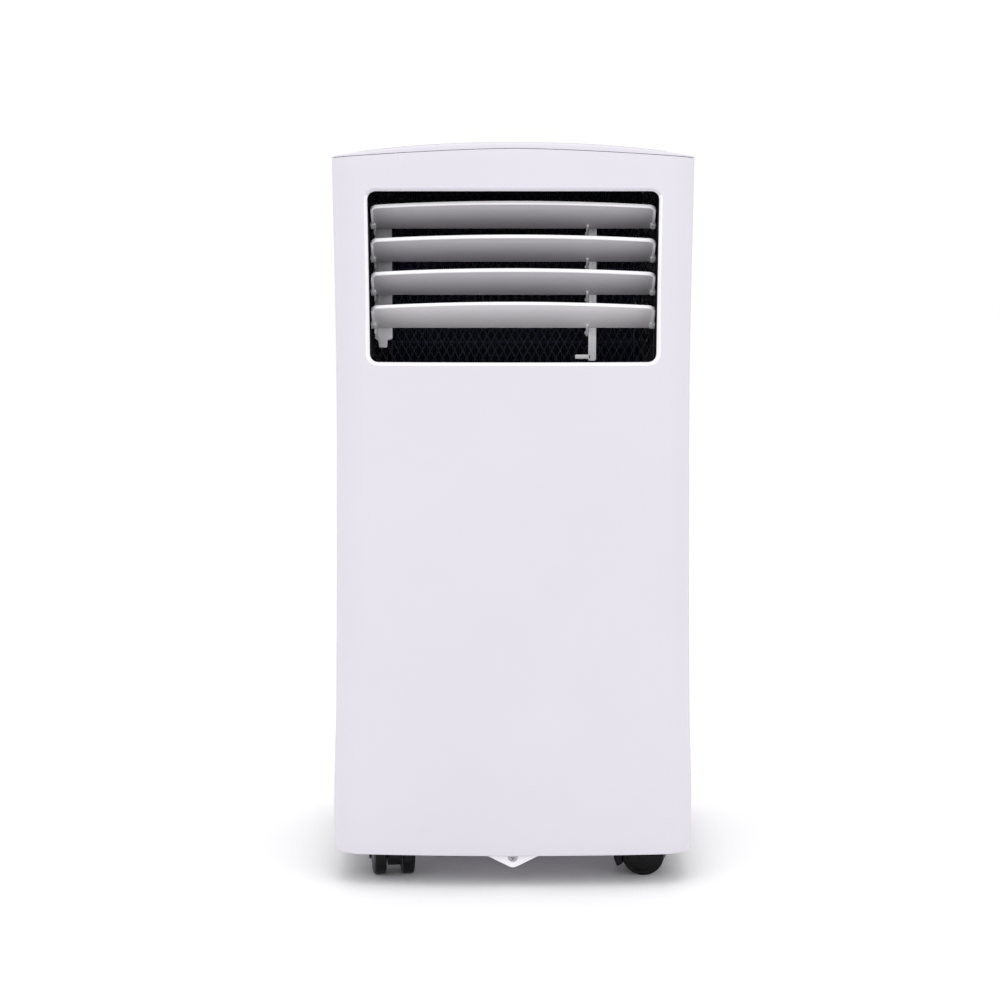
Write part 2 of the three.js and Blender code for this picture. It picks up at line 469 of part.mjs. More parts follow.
// ---------------------------------------------------------------- rear: grilles, filters, exhaust collar, drains, gland
function grille([x0, z0, x1, z1], rows) {
  const g = GAP + 0.1, y0 = 161.6, y1 = 165.8, pitch = (z1 - z0 - 30) / rows;
  let p = prismY(roundRect(x0 + g, z0 + g, x1 - g, z1 - g, 5.6, 2), y0, y1);
  for (let r = 0; r < rows; r++) for (const [a, b] of [[x0 + 12, -4], [4, x1 - 12]]) {
    const z = z0 + 15 + r * pitch;
    p = p.subtract(box(a, y0 - 2, z + 2, b, y1 + 2, z + pitch - 5));
  }
  return p.add(box(-22, y1 - 0.5, z1 - 12, 22, y1 + 4.2, z1 - 8));   // finger tab
}
function filter([x0, z0, x1, z1]) {
  const p = box(x0 + 4, 156.2, z0 + 4, x1 - 4, 159.8, z1 - 4);
  return p.subtract(box(x0 + 9, 158.6, z0 + 9, -3, 162, z1 - 9)).subtract(box(3, 158.6, z0 + 9, x1 - 9, 162, z1 - 9));
}
piece('upper_grille', grille(UP_GRILLE, 10), 'cabinet');
piece('upper_filter', filter(UP_GRILLE), 'dark');
piece('lower_grille', grille(LOW_GRILLE, 6), 'cabinet');
piece('lower_filter', filter(LOW_GRILLE), 'dark');
{
  let p = along(lathe([[EXHAUST_R, 156.5], [70.2, 156.5], [70.2, 165.4], [80, 165.4], [80, 168.4], [66, 168.4], [66, REAR_END], [EXHAUST_R, REAR_END], [EXHAUST_R, 156.5]], 24), 'y').translate([0, 0, EXHAUST_Z]);
  for (const s of [-1, 1]) p = p.add(box(s * 68 - 4, 168, EXHAUST_Z - 8, s * 68 + 4, 174, EXHAUST_Z + 8).subtract(cyl('y', 65, 160, 180, 0, EXHAUST_Z, 24)));
  piece('exhaust_flange', p, 'cabinet');
}
const drainCap = (x, z) => along(lathe([[0, 154], [6.4, 154], [6.4, 165.4], [11, 165.4], [11, 168.5], [9.6, 170.6], [0, 170.6]], 10), 'y').translate([x, 0, z]).add(box(x - 1.6, 170, z - 8, x + 1.6, 174, z + 8));
piece('drain_cap_upper', drainCap(128, 400), 'rubber');
piece('drain_cap_lower', drainCap(0, 76), 'rubber');
piece('cord_gland', along(lathe([[3.6, 155], [7.2, 155], [7.2, 165.4], [11, 165.4], [11, 168.6], [6, 171], [6, 176.5], [3.6, 176.5], [3.6, 155]], 10), 'y').translate([-128, 0, 258]), 'rubber');

// the cabinet and everything in it stands on the casters
for (const child of assembly.children) if (!child.userData.caster) child.position.z += LIFT;

export default assembly;
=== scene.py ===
# Portable air conditioner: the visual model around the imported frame. Metres; the front faces -Y.
import bpy, bmesh, math, json, random
from mathutils import Vector, Matrix

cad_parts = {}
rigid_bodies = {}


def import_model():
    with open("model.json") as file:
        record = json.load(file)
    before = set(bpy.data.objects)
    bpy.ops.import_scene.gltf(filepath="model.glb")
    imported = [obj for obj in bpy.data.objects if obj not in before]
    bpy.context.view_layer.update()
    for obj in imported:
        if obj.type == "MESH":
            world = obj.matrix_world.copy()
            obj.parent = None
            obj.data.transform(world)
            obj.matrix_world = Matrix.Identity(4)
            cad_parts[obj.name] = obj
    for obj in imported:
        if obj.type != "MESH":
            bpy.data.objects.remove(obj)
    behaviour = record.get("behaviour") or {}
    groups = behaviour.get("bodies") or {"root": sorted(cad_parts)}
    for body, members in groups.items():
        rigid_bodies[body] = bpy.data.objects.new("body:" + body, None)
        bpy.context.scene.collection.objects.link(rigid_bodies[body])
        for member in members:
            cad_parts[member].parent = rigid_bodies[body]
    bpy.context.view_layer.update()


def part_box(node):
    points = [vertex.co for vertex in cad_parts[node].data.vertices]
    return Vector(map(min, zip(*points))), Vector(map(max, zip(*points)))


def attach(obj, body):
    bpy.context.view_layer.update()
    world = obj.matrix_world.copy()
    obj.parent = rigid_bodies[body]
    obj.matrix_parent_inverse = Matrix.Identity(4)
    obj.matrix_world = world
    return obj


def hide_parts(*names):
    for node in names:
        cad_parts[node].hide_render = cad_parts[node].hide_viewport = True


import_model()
MM = 0.001
rad = math.radians
scene = bpy.context.scene

# ------------------------------------------------------------------ camera: in front, level with the top, looking slightly down
CAM_Y, CAM_Z, LENS = -2.60, 0.6725, 92.35
AIM = Vector((-0.0125, -0.15, 0.3750))
cam_data = bpy.data.cameras.new("camera")
cam_data.lens, cam_data.sensor_width = LENS, 36.0
cam = bpy.data.objects.new("camera", cam_data)
scene.collection.objects.link(cam)
cam.location = (-0.012, CAM_Y, CAM_Z)
cam.rotation_euler = (AIM - cam.location).to_track_quat('-Z', 'Y').to_euler()
cam_data.clip_start, cam_data.clip_end = 0.05, 60.0
scene.camera = cam

# ------------------------------------------------------------------ shape of the cabinet, millimetres, as the CAD model has it.
# Heights are those of the drawing; the cabinet stands LIFT higher on its casters, and add() raises every piece above them.
LIFT = 12.5
FRONT_Y, FRONT_BOW, BACK_Y, HALF_W = -177.5, 7.0, 165.0, 172.5
R_FRONT, R_BACK, WALL = 32.0, 24.0, 3.0
Z_SKIRT, Z_BASE, SEAM_Y, CROWN_Z, FLOOR_Z = 18.5, 93.0, -149.0, 703.0, 56.0
OUT_X, OUT_Z0, OUT_Z1, OUT_R = 136.9, 496.5, 657.5, 8.0
WIDTHS = [(18.5, 174.4), (60, 175.0), (165, 172.4), (358, 170.4), (455, 169.7), (703, 172.7)]

def half_width(z):
    """Smooth curve through the CAD profile's points."""
    k = WIDTHS
    if z <= k[0][0]: return k[0][1]
    if z >= k[-1][0]: return k[-1][1]
    n = len(k)
    slope = [(k[i + 1][1] - k[i][1]) / (k[i + 1][0] - k[i][0]) for i in range(n - 1)]
    m = [slope[0]] + [0 if slope[i - 1] * slope[i] <= 0 else 2 * slope[i - 1] * slope[i] / (slope[i - 1] + slope[i]) for i in range(1, n - 1)] + [slope[-1]]
    for i in range(n - 1):
        if z <= k[i + 1][0]:
            h = k[i + 1][0] - k[i][0]; t = (z - k[i][0]) / h
            return ((2 * t**3 - 3 * t * t + 1) * k[i][1] + (t**3 - 2 * t * t + t) * h * m[i]
                    + (-2 * t**3 + 3 * t * t) * k[i + 1][1] + (t**3 - t * t) * h * m[i + 1])

def seam_top(x): return 697.2 - 8.4 * min(1.0, abs(x) / HALF_W) ** 1.5
def crown(x): return CROWN_Z - 12.6 * min(1.0, abs(x) / HALF_W) ** 2.3
def front_y(x): return FRONT_Y + FRONT_BOW * (x / 145.0) ** 2

# the plan outline as a dense polyline with its outward normals, by arc length from the middle of the front
def _outline():
    pts = []
    cx = HALF_W - R_FRONT; cy = front_y(cx) + R_FRONT
    for i in range(161):
        x = cx * i / 160
        s = 2 * FRONT_BOW * x / 145.0 ** 2
        n = math.hypot(s, 1)
        pts.append((x, front_y(x), s / n, -1 / n))
    a0 = math.atan2(-1, 2 * FRONT_BOW * cx / 145.0 ** 2)
    for i in range(1, 65):
        t = a0 * (1 - i / 64)
        pts.append((cx + R_FRONT * math.cos(t), cy + R_FRONT * math.sin(t), math.cos(t), math.sin(t)))
    bx, by = HALF_W - R_BACK, BACK_Y - R_BACK
    for i in range(1, 41): pts.append((HALF_W, cy + (by - cy) * i / 40, 1.0, 0.0))
    for i in range(1, 49):
        t = math.pi / 2 * i / 48
        pts.append((bx + R_BACK * math.cos(t), by + R_BACK * math.sin(t), math.cos(t), math.sin(t)))
    for i in range(1, 41): pts.append((bx * (1 - i / 40), BACK_Y, 0.0, 1.0))
    return pts
_HALF = _outline()
_S = [0.0]
for a, b in zip(_HALF, _HALF[1:]): _S.append(_S[-1] + math.hypot(b[0] - a[0], b[1] - a[1]))
U_HALF = _S[-1]

import bisect
def plan(u):
    """x, y, nx, ny at arc length u; u in -U_HALF..U_HALF is the front round to the back, and past U_HALF it goes on round."""
    if u > U_HALF: u -= 2 * U_HALF
    sign = -1 if u < 0 else 1
    a = min(abs(u), U_HALF)
    i = max(1, min(len(_S) - 1, bisect.bisect_left(_S, a)))
    t = (a - _S[i - 1]) / (_S[i] - _S[i - 1])
    p, q = _HALF[i - 1], _HALF[i]
    v = [p[k] + (q[k] - p[k]) * t for k in range(4)]
    n = math.hypot(v[2], v[3])
    return sign * v[0], v[1], sign * v[2] / n, v[3] / n
def u_at_side(y):
    for i in range(1, len(_S)):
        if _HALF[i][0] > HALF_W - R_FRONT - 1 and _HALF[i][1] >= y:
            p, q = _HALF[i - 1], _HALF[i]
            t = (y - p[1]) / (q[1] - p[1])
            return _S[i - 1] + (_S[i] - _S[i - 1]) * t
def surf(u, z, d):
    """A point on the cabinet's skin, d inside it."""
    x, y, nx, ny = plan(u)
    return ((x - d * nx) * half_width(z) / HALF_W, y - d * ny, z)
U_SEAM = u_at_side(SEAM_Y)

# ------------------------------------------------------------------ mesh helpers
def new_object(name, verts, faces, sharp=32.0, scale=MM, uv=None):
    me = bpy.data.meshes.new(name)
    me.from_pydata([Vector(v) * scale for v in verts], [], faces)
    bm = bmesh.new(); bm.from_mesh(me)
    bmesh.ops.remove_doubles(bm, verts=bm.verts, dist=1e-6)
    bmesh.ops.dissolve_degenerate(bm, dist=1e-7, edges=bm.edges)
    bmesh.ops.recalc_face_normals(bm, faces=bm.faces)
    finish_bm(bm, me, sharp)
    ob = bpy.data.objects.new(name, me)
    scene.collection.objects.link(ob)
    return ob
def finish_bm(bm, me, sharp):
    lim = rad(sharp)
    for f in bm.faces: f.smooth = True
    for e in bm.edges:
        e.smooth = not (len(e.link_faces) == 2 and e.calc_face_angle(0) > lim) and len(e.link_faces) == 2
    bm.to_mesh(me); bm.free()
    me.update()
def open_edges(ob):
    bm = bmesh.new(); bm.from_mesh(ob.data)
    n = sum(1 for e in bm.edges if len(e.link_faces) != 2)
    bm.free(); return n
def join(name, obs):
    """One object from several, keeping material slots."""
    for o in bpy.context.selected_objects: o.select_set(False)
    with bpy.context.temp_override(active_object=obs[0], selected_editable_objects=obs, selected_objects=obs):
        bpy.ops.object.join()
    obs[0].name = name
    return obs[0]
def bevel(ob, width, segments=2, angle=30, profile=0.5):
    m = ob.modifiers.new("edge", 'BEVEL')
    m.width, m.segments, m.limit_method, m.angle_limit, m.profile = width * MM, segments, 'ANGLE', rad(angle), profile
    m.harden_normals = False
    return m
def apply_mods(ob, sharp=None):
    dg = bpy.context.evaluated_depsgraph_get()
    me = bpy.data.meshes.new_from_object(ob.evaluated_get(dg))
    ob.modifiers.clear()
    old = ob.data; ob.data = me; bpy.data.meshes.remove(old)
    if sharp is not None:
        bm = bmesh.new(); bm.from_mesh(me); finish_bm(bm, me, sharp)
    return ob
def lathe(profile, seg=64, axis='z', at=(0, 0, 0), name="lathe", sharp=32.0, closed=False, scale=MM):
    """[radius, height] pairs turned about an axis. Closed profiles make rings; open ones start and end on the axis."""
    verts, faces, rows = [], [], []
    for r, h in profile:
        if r < 1e-6: rows.append([len(verts)]); verts.append((0, 0, h))
        else:
            rows.append(list(range(len(verts), len(verts) + seg)))
            for i in range(seg):
                t = 2 * math.pi * i / seg
                verts.append((r * math.cos(t), r * math.sin(t), h))
    pairs = list(zip(rows, rows[1:])) + ([(rows[-1], rows[0])] if closed else [])
    for a, b in pairs:
        for i in range(seg):
            j = (i + 1) % seg
            if len(a) == 1 and len(b) == 1: continue
            if len(a) == 1: faces.append((a[0], b[i], b[j]))
            elif len(b) == 1: faces.append((a[i], b[0], a[j]))
            else: faces.append((a[i], b[i], b[j], a[j]))
    turn = {'z': lambda v: v, 'y': lambda v: (v[0], v[2], v[1]), 'x': lambda v: (v[2], v[1], v[0]), '-y': lambda v: (v[0], -v[2], v[1])}[axis]
    verts = [tuple(a + b for a, b in zip(turn(v), at)) for v in verts]
    return new_object(name, verts, faces, sharp, scale)
def rounded(points, r, seg=4):
    """Fillets the corners of an open or closed 2D profile by r (one number, or one for each point)."""
    out = []; n = len(points)
    for i, p in enumerate(points):
        rr = r[i] if isinstance(r, (list, tuple)) else r
        if i in (0, n - 1) or rr <= 0: out.append(p); continue
        a, b, c = Vector(points[i - 1]), Vector(p), Vector(points[i + 1])
        da, dc = (a - b), (c - b)
        if da.length < 1e-6 or dc.length < 1e-6: out.append(p); continue
        rr = min(rr, da.length * 0.49, dc.length * 0.49)
        s, e = b + da.normalized() * rr, b + dc.normalized() * rr
        for k in range(seg + 1):
            t = k / seg
            out.append(tuple((1 - t) ** 2 * s + 2 * t * (1 - t) * b + t * t * e))
    return out
def rounded_closed(points, r, seg=4):
    n = len(points); out = []
    for i, p in enumerate(points):
        rr = r[i] if isinstance(r, (list, tuple)) else r
        a, b, c = Vector(points[i - 1]), Vector(p), Vector(points[(i + 1) % n])
        if rr <= 0: out.append(tuple(p)); continue
        da, dc = (a - b), (c - b)
        rr = min(rr, da.length * 0.49, dc.length * 0.49)
        s, e = b + da.normalized() * rr, b + dc.normalized() * rr
        for k in range(seg + 1):
            t = k / seg
            out.append(tuple((1 - t) ** 2 * s + 2 * t * (1 - t) * b + t * t * e))
    return out
def rrect(x0, y0, x1, y1, r, n=6):
    out = []
    for cx, cy, a in ((x1 - r, y0 + r, -90), (x1 - r, y1 - r, 0), (x0 + r, y1 - r, 90), (x0 + r, y0 + r, 180)):
        for i in range(n + 1):
            t = rad(a + 90 * i / n)
            out.append((cx + r * math.cos(t), cy + r * math.sin(t)))
    return out
def plate(name, outline, lo, hi, axis='z', edge=0.6, seg=3, holes=(), sharp=32.0):
    """A flat plate of an outline with rounded edges and straight holes; axis is the extrusion's direction."""
    cu = bpy.data.curves.new(name, 'CURVE'); cu.dimensions = '2D'; cu.fill_mode = 'BOTH'
    for loop in [outline, *holes]:
        sp = cu.splines.new('POLY'); sp.points.add(len(loop) - 1)
        for p, q in zip(sp.points, loop): p.co = (q[0], q[1], 0, 1)
        sp.use_cyclic_u = True
    half = (hi - lo) / 2
    cu.extrude = half - edge if edge > 0 else half
    cu.bevel_depth, cu.bevel_resolution = edge, seg
    cu.offset = -edge
    ob = bpy.data.objects.new(name, cu); scene.collection.objects.link(ob)
    dg = bpy.context.evaluated_depsgraph_get()
    me = bpy.data.meshes.new_from_object(ob.evaluated_get(dg))
    bpy.data.objects.remove(ob); bpy.data.curves.remove(cu)
    turn = {'z': lambda v: (v[0], v[1], v[2] + (lo + hi) / 2), 'y': lambda v: (v[0], -v[2] + (lo + hi) / 2, v[1]), 'x': lambda v: (v[2] + (lo + hi) / 2, v[0], v[1])}[axis]
    bm = bmesh.new(); bm.from_mesh(me)
    for v in bm.verts: v.co = Vector(turn(v.co)) * MM
    bmesh.ops.remove_doubles(bm, verts=bm.verts, dist=1e-7)
    bmesh.ops.recalc_face_normals(bm, faces=bm.faces)
    finish_bm(bm, me, sharp)
    me.name = name
    ob = bpy.data.objects.new(name, me); scene.collection.objects.link(ob)
    return ob
def block(name, lo, hi, edge=0.6, seg=2, sharp=40.0):
    """A rounded block between two corners."""
    bm = bmesh.new(); bmesh.ops.create_cube(bm, size=1)
    for v in bm.verts: v.co = Vector([(lo[k] + hi[k]) / 2 + v.co[k] * (hi[k] - lo[k]) for k in range(3)]) * MM
    if edge > 0:
        bmesh.ops.bevel(bm, geom=list(bm.edges), offset=min(edge, min(hi[k] - lo[k] for k in range(3)) * 0.45) * MM, segments=seg, affect='EDGES', profile=0.5)
    bmesh.ops.recalc_face_normals(bm, faces=bm.faces)
    me = bpy.data.meshes.new(name); finish_bm(bm, me, sharp)
    ob = bpy.data.objects.new(name, me); scene.collection.objects.link(ob)
    return ob
def sweep(name, points, radius, seg=12, cyclic=False, smooth_path=True, ends=True):
    """A round bar along points (mm)."""
    cu = bpy.data.curves.new(name, 'CURVE'); cu.dimensions = '3D'
    sp = cu.splines.new('NURBS' if smooth_path else 'POLY'); sp.points.add(len(points) - 1)
    for p, q in zip(sp.points, points): p.co = (q[0] * MM, q[1] * MM, q[2] * MM, 1)
    if smooth_path: sp.order_u = 4; sp.use_endpoint_u = not cyclic; sp.resolution_u = 6
    sp.use_cyclic_u = cyclic
    cu.bevel_depth, cu.bevel_resolution, cu.use_fill_caps = radius * MM, max(1, seg // 4), ends
    ob = bpy.data.objects.new(name, cu); scene.collection.objects.link(ob)
    dg = bpy.context.evaluated_depsgraph_get()
    me = bpy.data.meshes.new_from_object(ob.evaluated_get(dg))
    bpy.data.objects.remove(ob); bpy.data.curves.remove(cu)
    bm = bmesh.new(); bm.from_mesh(me); finish_bm(bm, me, 50)
    me.name = name
    ob = bpy.data.objects.new(name, me); scene.collection.objects.link(ob)
    return ob

# ------------------------------------------------------------------ a moulded shell in (u, z) with rounded edges and openings
def lines(a, b, must, step):
    """Sorted grid lines from a to b that include every value in must, no further apart than step."""
    keys = sorted({round(v, 4) for v in [a, b, *[m for m in must if a < m < b]]})
    out = []
    for p, q in zip(keys, keys[1:]):
        s = step(0.5 * (p + q)) if callable(step) else step
        n = max(1, math.ceil((q - p) / s))
        out += [p + (q - p) * i / n for i in range(n)]
    return out + [keys[-1]]
class Hole:
    """An opening in a shell: centre, half sizes, corner radius, and its edge. pocket closes it at that depth."""
    def __init__(self, u, z, hu, hz, r, margin=8, edge=1.0, chamfer=0.0, pocket=0.0, lip=0.0, circle=False):
        self.u, self.z, self.hu, self.hz, self.r = u, z, hu, hz, r
        self.m, self.edge, self.chamfer, self.pocket, self.lip, self.circle = margin, edge, chamfer, pocket, lip, circle
        self.box = (u - hu - margin, z - hz - margin, u + hu + margin, z + hz + margin)
    def ulines(self):
        out = [self.box[0], self.box[2]]
        for s in (-1, 1):
            for f in ((0, 0.35, 0.7, 1.0, 1.4) if not self.circle else ()): out.append(self.u + s * (self.hu + self.m - (self.m + self.r) * f * 0.72))
        return out
    def zlines(self):
        out = [self.box[1], self.box[3]]
        for s in (-1, 1):
            for f in ((0, 0.35, 0.7, 1.0, 1.4) if not self.circle else ()): out.append(self.z + s * (self.hz + self.m - (self.m + self.r) * f * 0.72))
        return out
    def at(self, u, z, grow):
        """The point of the outline grown by grow that answers a point on the patch's border."""
        s, t = (u - self.u) / (self.hu + self.m), (z - self.z) / (self.hz + self.m)
        if self.circle:
            a = math.atan2(t, s); R = self.hu + grow
            return self.u + R * math.cos(a), self.z + R * math.sin(a)
        hu, hz, r = self.hu + grow, self.hz + grow, max(0.05, self.r + grow)
        # the corner zone of the border maps on to the arc by angle
        x, y = s * (self.hu + self.m), t * (self.hz + self.m)
        c = r + (self.m - grow) * 1.0
        cu, cz = self.hu + self.m - (self.m + self.r) * 1.008, self.hz + self.m - (self.m + self.r) * 1.008
        if abs(x) > cu and abs(y) > cz:
            a = math.atan2(abs(y) - cz, abs(x) - cu)
            px, py = hu - r + r * math.cos(a), hz - r + r * math.sin(a)
            return self.u + math.copysign(px, x), self.z + math.copysign(py, y)
        if abs(s) >= abs(t) and abs(abs(x) - (self.hu + self.m)) < 1e-3: return self.u + math.copysign(hu, x), self.z + y * (hz - r) / cz
        if abs(abs(y) - (self.hz + self.m)) < 1e-3: return self.u + x * (hu - r) / cu, self.z + math.copysign(hz, y)
        return self.u + math.copysign(hu, x), self.z + y * (hz - r) / cz
def shell(name, ua, ub, za, zb, holes=(), wall=WALL, edge=0.9, ustep=6.0, zstep=16.0, extra_u=(), extra_z=(), inner=True, place=surf):
    """A shell over u from ua to ub; za and zb are numbers or functions of u, the bottom and top edges."""
    fa = za if callable(za) else (lambda u: za)
    fb = zb if callable(zb) else (lambda u: zb)
    z0 = min(fa(ua + (ub - ua) * i / 40) for i in range(41)); z1 = max(fb(ua + (ub - ua) * i / 80) for i in range(81))
    musts_u, musts_z = list(extra_u), list(extra_z)
    for h in holes: musts_u += h.ulines(); musts_z += h.zlines()
    U = lines(ua + edge, ub - edge, musts_u, ustep)
    Z = lines(z0 + edge, z1 - edge, musts_z, zstep)
    def zmap(u, z, e):
        """Rows near the bottom and top follow those edges."""
        lo, hi = z0 + (z1 - z0) * 0.06, z1 - (z1 - z0) * 0.05
        if z <= lo:
            t = (z - (z0 + edge)) / (lo - z0 - edge); return (fa(u) + e) * (1 - t) + lo * t
        if z >= hi:
            t = (z - hi) / (z1 - edge - hi); return hi * (1 - t) + (fb(u) - e) * t
        return z
    V, F = [], []
    def vert(p): V.append(p); return len(V) - 1
    nu, nz = len(U), len(Z)
    def in_hole(i, j):
        cu, cz = (U[i] + U[i + 1]) / 2, (Z[j] + Z[j + 1]) / 2
        return any(h.box[0] < cu < h.box[2] and h.box[1] < cz < h.box[3] for h in holes)
    def inside(i, j):
        return any(h.box[0] + 1e-3 < U[i] < h.box[2] - 1e-3 and h.box[1] + 1e-3 < Z[j] < h.box[3] - 1e-3 for h in holes)
    layers = [0.0, wall]
    grid = []
    for d in layers:
        e = edge if d == 0 else 0.0
        g = {}
        for i in range(nu):
            for j in range(nz):
                if inside(i, j): continue
                u, z = U[i], zmap(U[i], Z[j], e)
                if d: u = ua if i == 0 else ub if i == nu - 1 else u
                g[i, j] = vert(place(u, z, d))
        grid.append(g)
        for i in range(nu - 1):
            for j in range(nz - 1):
                if in_hole(i, j): continue
                F.append((g[i, j], g[i + 1, j], g[i + 1, j + 1], g[i, j + 1]))
    ring = [(i, 0) for i in range(nu)] + [(nu - 1, j) for j in range(1, nz)] + [(i, nz - 1) for i in range(nu - 2, -1, -1)] + [(0, j) for j in range(nz - 2, 0, -1)]
    prev = [grid[0][k] for k in ring]
    for deg in (22.5, 45, 67.5, 90):
        e, d = edge * (1 - math.sin(rad(deg))), edge * (1 - math.cos(rad(deg)))
        cur = []
        for i, j in ring:
            u = ua + e if i == 0 else ub - e if i == nu - 1 else U[i]
            cur.append(vert(place(u, zmap(u, Z[j], e), d)))
        for k in range(len(ring)):
            m = (k + 1) % len(ring); F.append((prev[k], prev[m], cur[m], cur[k]))
        prev = cur
    last = [grid[1][k] for k in ring]
    for k in range(len(ring)):
        m = (k + 1) % len(ring); F.append((prev[k], prev[m], last[m], last[k]))
    for h in holes:
        ii = [i for i in range(nu) if h.box[0] - 1e-3 <= U[i] <= h.box[2] + 1e-3]
        jj = [j for j in range(nz) if h.box[1] - 1e-3 <= Z[j] <= h.box[3] + 1e-3]
        loop = [(i, jj[0]) for i in ii] + [(ii[-1], j) for j in jj[1:]] + [(i, jj[-1]) for i in ii[-2::-1]] + [(ii[0], j) for j in jj[-2:0:-1]]
        # outer skin, its edge, the wall, then the inner skin
        b, c = h.edge, h.chamfer
        steps = []
        grow0 = b + c
        for f in (0.5, 0.8, 0.93): steps.append(('mix', f, grow0, 0.0))
        steps.append(('at', 1, grow0 + 0.02, 0.0))
        if c > 0:
            for deg in (15, 30, 45): steps.append(('at', 1, c + b * (1 - math.sin(rad(deg)) * 0.7) - 0.0, b * (1 - math.cos(rad(deg))) * 0.7))
            steps.append(('at', 1, b * 0.6, c * 0.9)); steps.append(('at', 1, b * 0.2, c + b * 0.4)); steps.append(('at', 1, 0, c + b * 1.2))
        else:
            for deg in (22.5, 45, 67.5, 90): steps.append(('at', 1, b * (1 - math.sin(rad(deg))), b * (1 - math.cos(rad(deg)))))
        depth = h.pocket or wall
        if h.pocket:
            steps.append(('at', 1, -0.4, depth * 0.5)); steps.append(('at', 1, -1.0, depth - 3.0))
            for deg in (30, 60, 90): steps.append(('at', 1, -1.0 - 3.0 * (1 - math.cos(rad(deg))), depth - 3.0 + 3.0 * math.sin(rad(deg))))
        else: steps.append(('at', 1, 0, depth))
        prev = [grid[0][k] for k in loop]
        for kind, f, grow, d in steps:
            cur = []
            for (i, j), pv in zip(loop, prev):
                u0_, z0_ = U[i], Z[j]
                hu_, hz_ = h.at(u0_, z0_, grow)
                u, z = (u0_ + (hu_ - u0_) * f, z0_ + (hz_ - z0_) * f) if kind == 'mix' else (hu_, hz_)
                cur.append(vert(place(u, z, d)))
            for k in range(len(loop)):
                m = (k + 1) % len(loop); F.append((prev[k], prev[m], cur[m], cur[k]))
            prev = cur
        if h.pocket:
            rings = 4
            for q in range(1, rings):
                cur = []
                for (i, j) in loop:
                    hu_, hz_ = h.at(U[i], Z[j], -4.0)
                    f = q / rings
                    cur.append(vert(place(hu_ + (h.u - hu_) * f, hz_ + (h.z - hz_) * f, depth)))
                for k in range(len(loop)):
                    m = (k + 1) % len(loop); F.append((prev[k], prev[m], cur[m], cur[k]))
                prev = cur
            mid = vert(place(h.u, h.z, depth))
            for k in range(len(loop)): F.append((prev[k], prev[(k + 1) % len(loop)], mid))
            # the pocket's outside, and the inner skin up to it
            prev = [grid[1][k] for k in loop]
            out_steps = [(2.5, wall), (2.2, depth * 0.6), (1.5, depth + 2.5)]
            for grow, d in out_steps:
                cur = [vert(place(*h.at(U[i], Z[j], grow), d)) for i, j in loop]
                for k in range(len(loop)):
                    m = (k + 1) % len(loop); F.append((prev[k], prev[m], cur[m], cur[k]))
                prev = cur
            mid = vert(place(h.u, h.z, depth + 2.5))
            for k in range(len(loop)): F.append((prev[k], prev[(k + 1) % len(loop)], mid))
        else:
            inner_loop = [grid[1][k] for k in loop]
            for k in range(len(loop)):
                m = (k + 1) % len(loop); F.append((prev[k], prev[m], inner_loop[m], inner_loop[k]))
    return new_object(name, V, F, sharp=34.0)

made = []
def add(ob, body, slot, *nodes, mat=None):
    """Registers a piece: its body, its slot (not used), the CAD nodes it stands for, and its material."""
    if mat is not None:
        ob.data.materials.clear(); ob.data.materials.append(mat)
    if not body.startswith(("caster_", "wheel_")): ob.data.transform(Matrix.Translation((0, 0, LIFT * MM)))
    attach(ob, body)
    if nodes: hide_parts(*nodes)
    made.append(ob)
    return ob

# ------------------------------------------------------------------ materials: every one is procedural
def nodes_of(name):
    m = bpy.data.materials.new(name); m.use_nodes = True
    nt = m.node_tree
    return m, nt, nt.nodes["Principled BSDF"]
def link(nt, a, b): nt.links.new(a, b)
def noise(nt, coord, scale, detail=3.0, rough=0.55, stretch=None):
    n = nt.nodes.new("ShaderNodeTexNoise")
    n.inputs["Scale"].default_value, n.inputs["Detail"].default_value, n.inputs["Roughness"].default_value = scale, detail, rough
    if stretch:
        mp = nt.nodes.new("ShaderNodeMapping"); mp.inputs["Scale"].default_value = stretch
        link(nt, coord, mp.inputs["Vector"]); link(nt, mp.outputs[0], n.inputs["Vector"])
    else: link(nt, coord, n.inputs["Vector"])
    return n.outputs["Fac"]
def ramp(nt, fac, stops):
    r = nt.nodes.new("ShaderNodeValToRGB"); link(nt, fac, r.inputs[0])
    while len(r.color_ramp.elements) < len(stops): r.color_ramp.elements.new(0.5)
    for e, (p, c) in zip(r.color_ramp.elements, stops): e.position, e.color = p, (*c, 1) if len(c) == 3 else c
    return r.outputs[0]
def remap(nt, fac, a, b, lo, hi):
    r = nt.nodes.new("ShaderNodeMapRange"); link(nt, fac, r.inputs[0])
    for k, v in zip((1, 2, 3, 4), (a, b, lo, hi)): r.inputs[k].default_value = v
    return r.outputs[0]
def mixc(nt, fac, a, b, mode='MIX'):
    n = nt.nodes.new("ShaderNodeMix"); n.data_type = 'RGBA'; n.blend_type = mode
    for sock, v in ((n.inputs[0], fac), (n.inputs[6], a), (n.inputs[7], b)):
        if hasattr(v, "links") or hasattr(v, "is_linked"): link(nt, v, sock)
        elif isinstance(v, (int, float)): sock.default_value = v
        else: sock.default_value = (*v, 1)
    return n.outputs[2]
def math_(nt, op, a, b=None, c=None):
    n = nt.nodes.new("ShaderNodeMath"); n.operation = op
    for k, v in enumerate((a, b, c)):
        if v is None: continue
        if isinstance(v, (int, float)): n.inputs[k].default_value = v
        else: link(nt, v, n.inputs[k])
    return n.outputs[0]
def bump(nt, bsdf, height, distance, strength=1.0, under=None):
    b = nt.nodes.new("ShaderNodeBump")
    b.inputs["Distance"].default_value, b.inputs["Strength"].default_value = distance, strength
    link(nt, height, b.inputs["Height"])
    if under is not None: link(nt, under, b.inputs["Normal"])
    link(nt, b.outputs[0], bsdf.inputs["Normal"])
    return b.outputs[0]
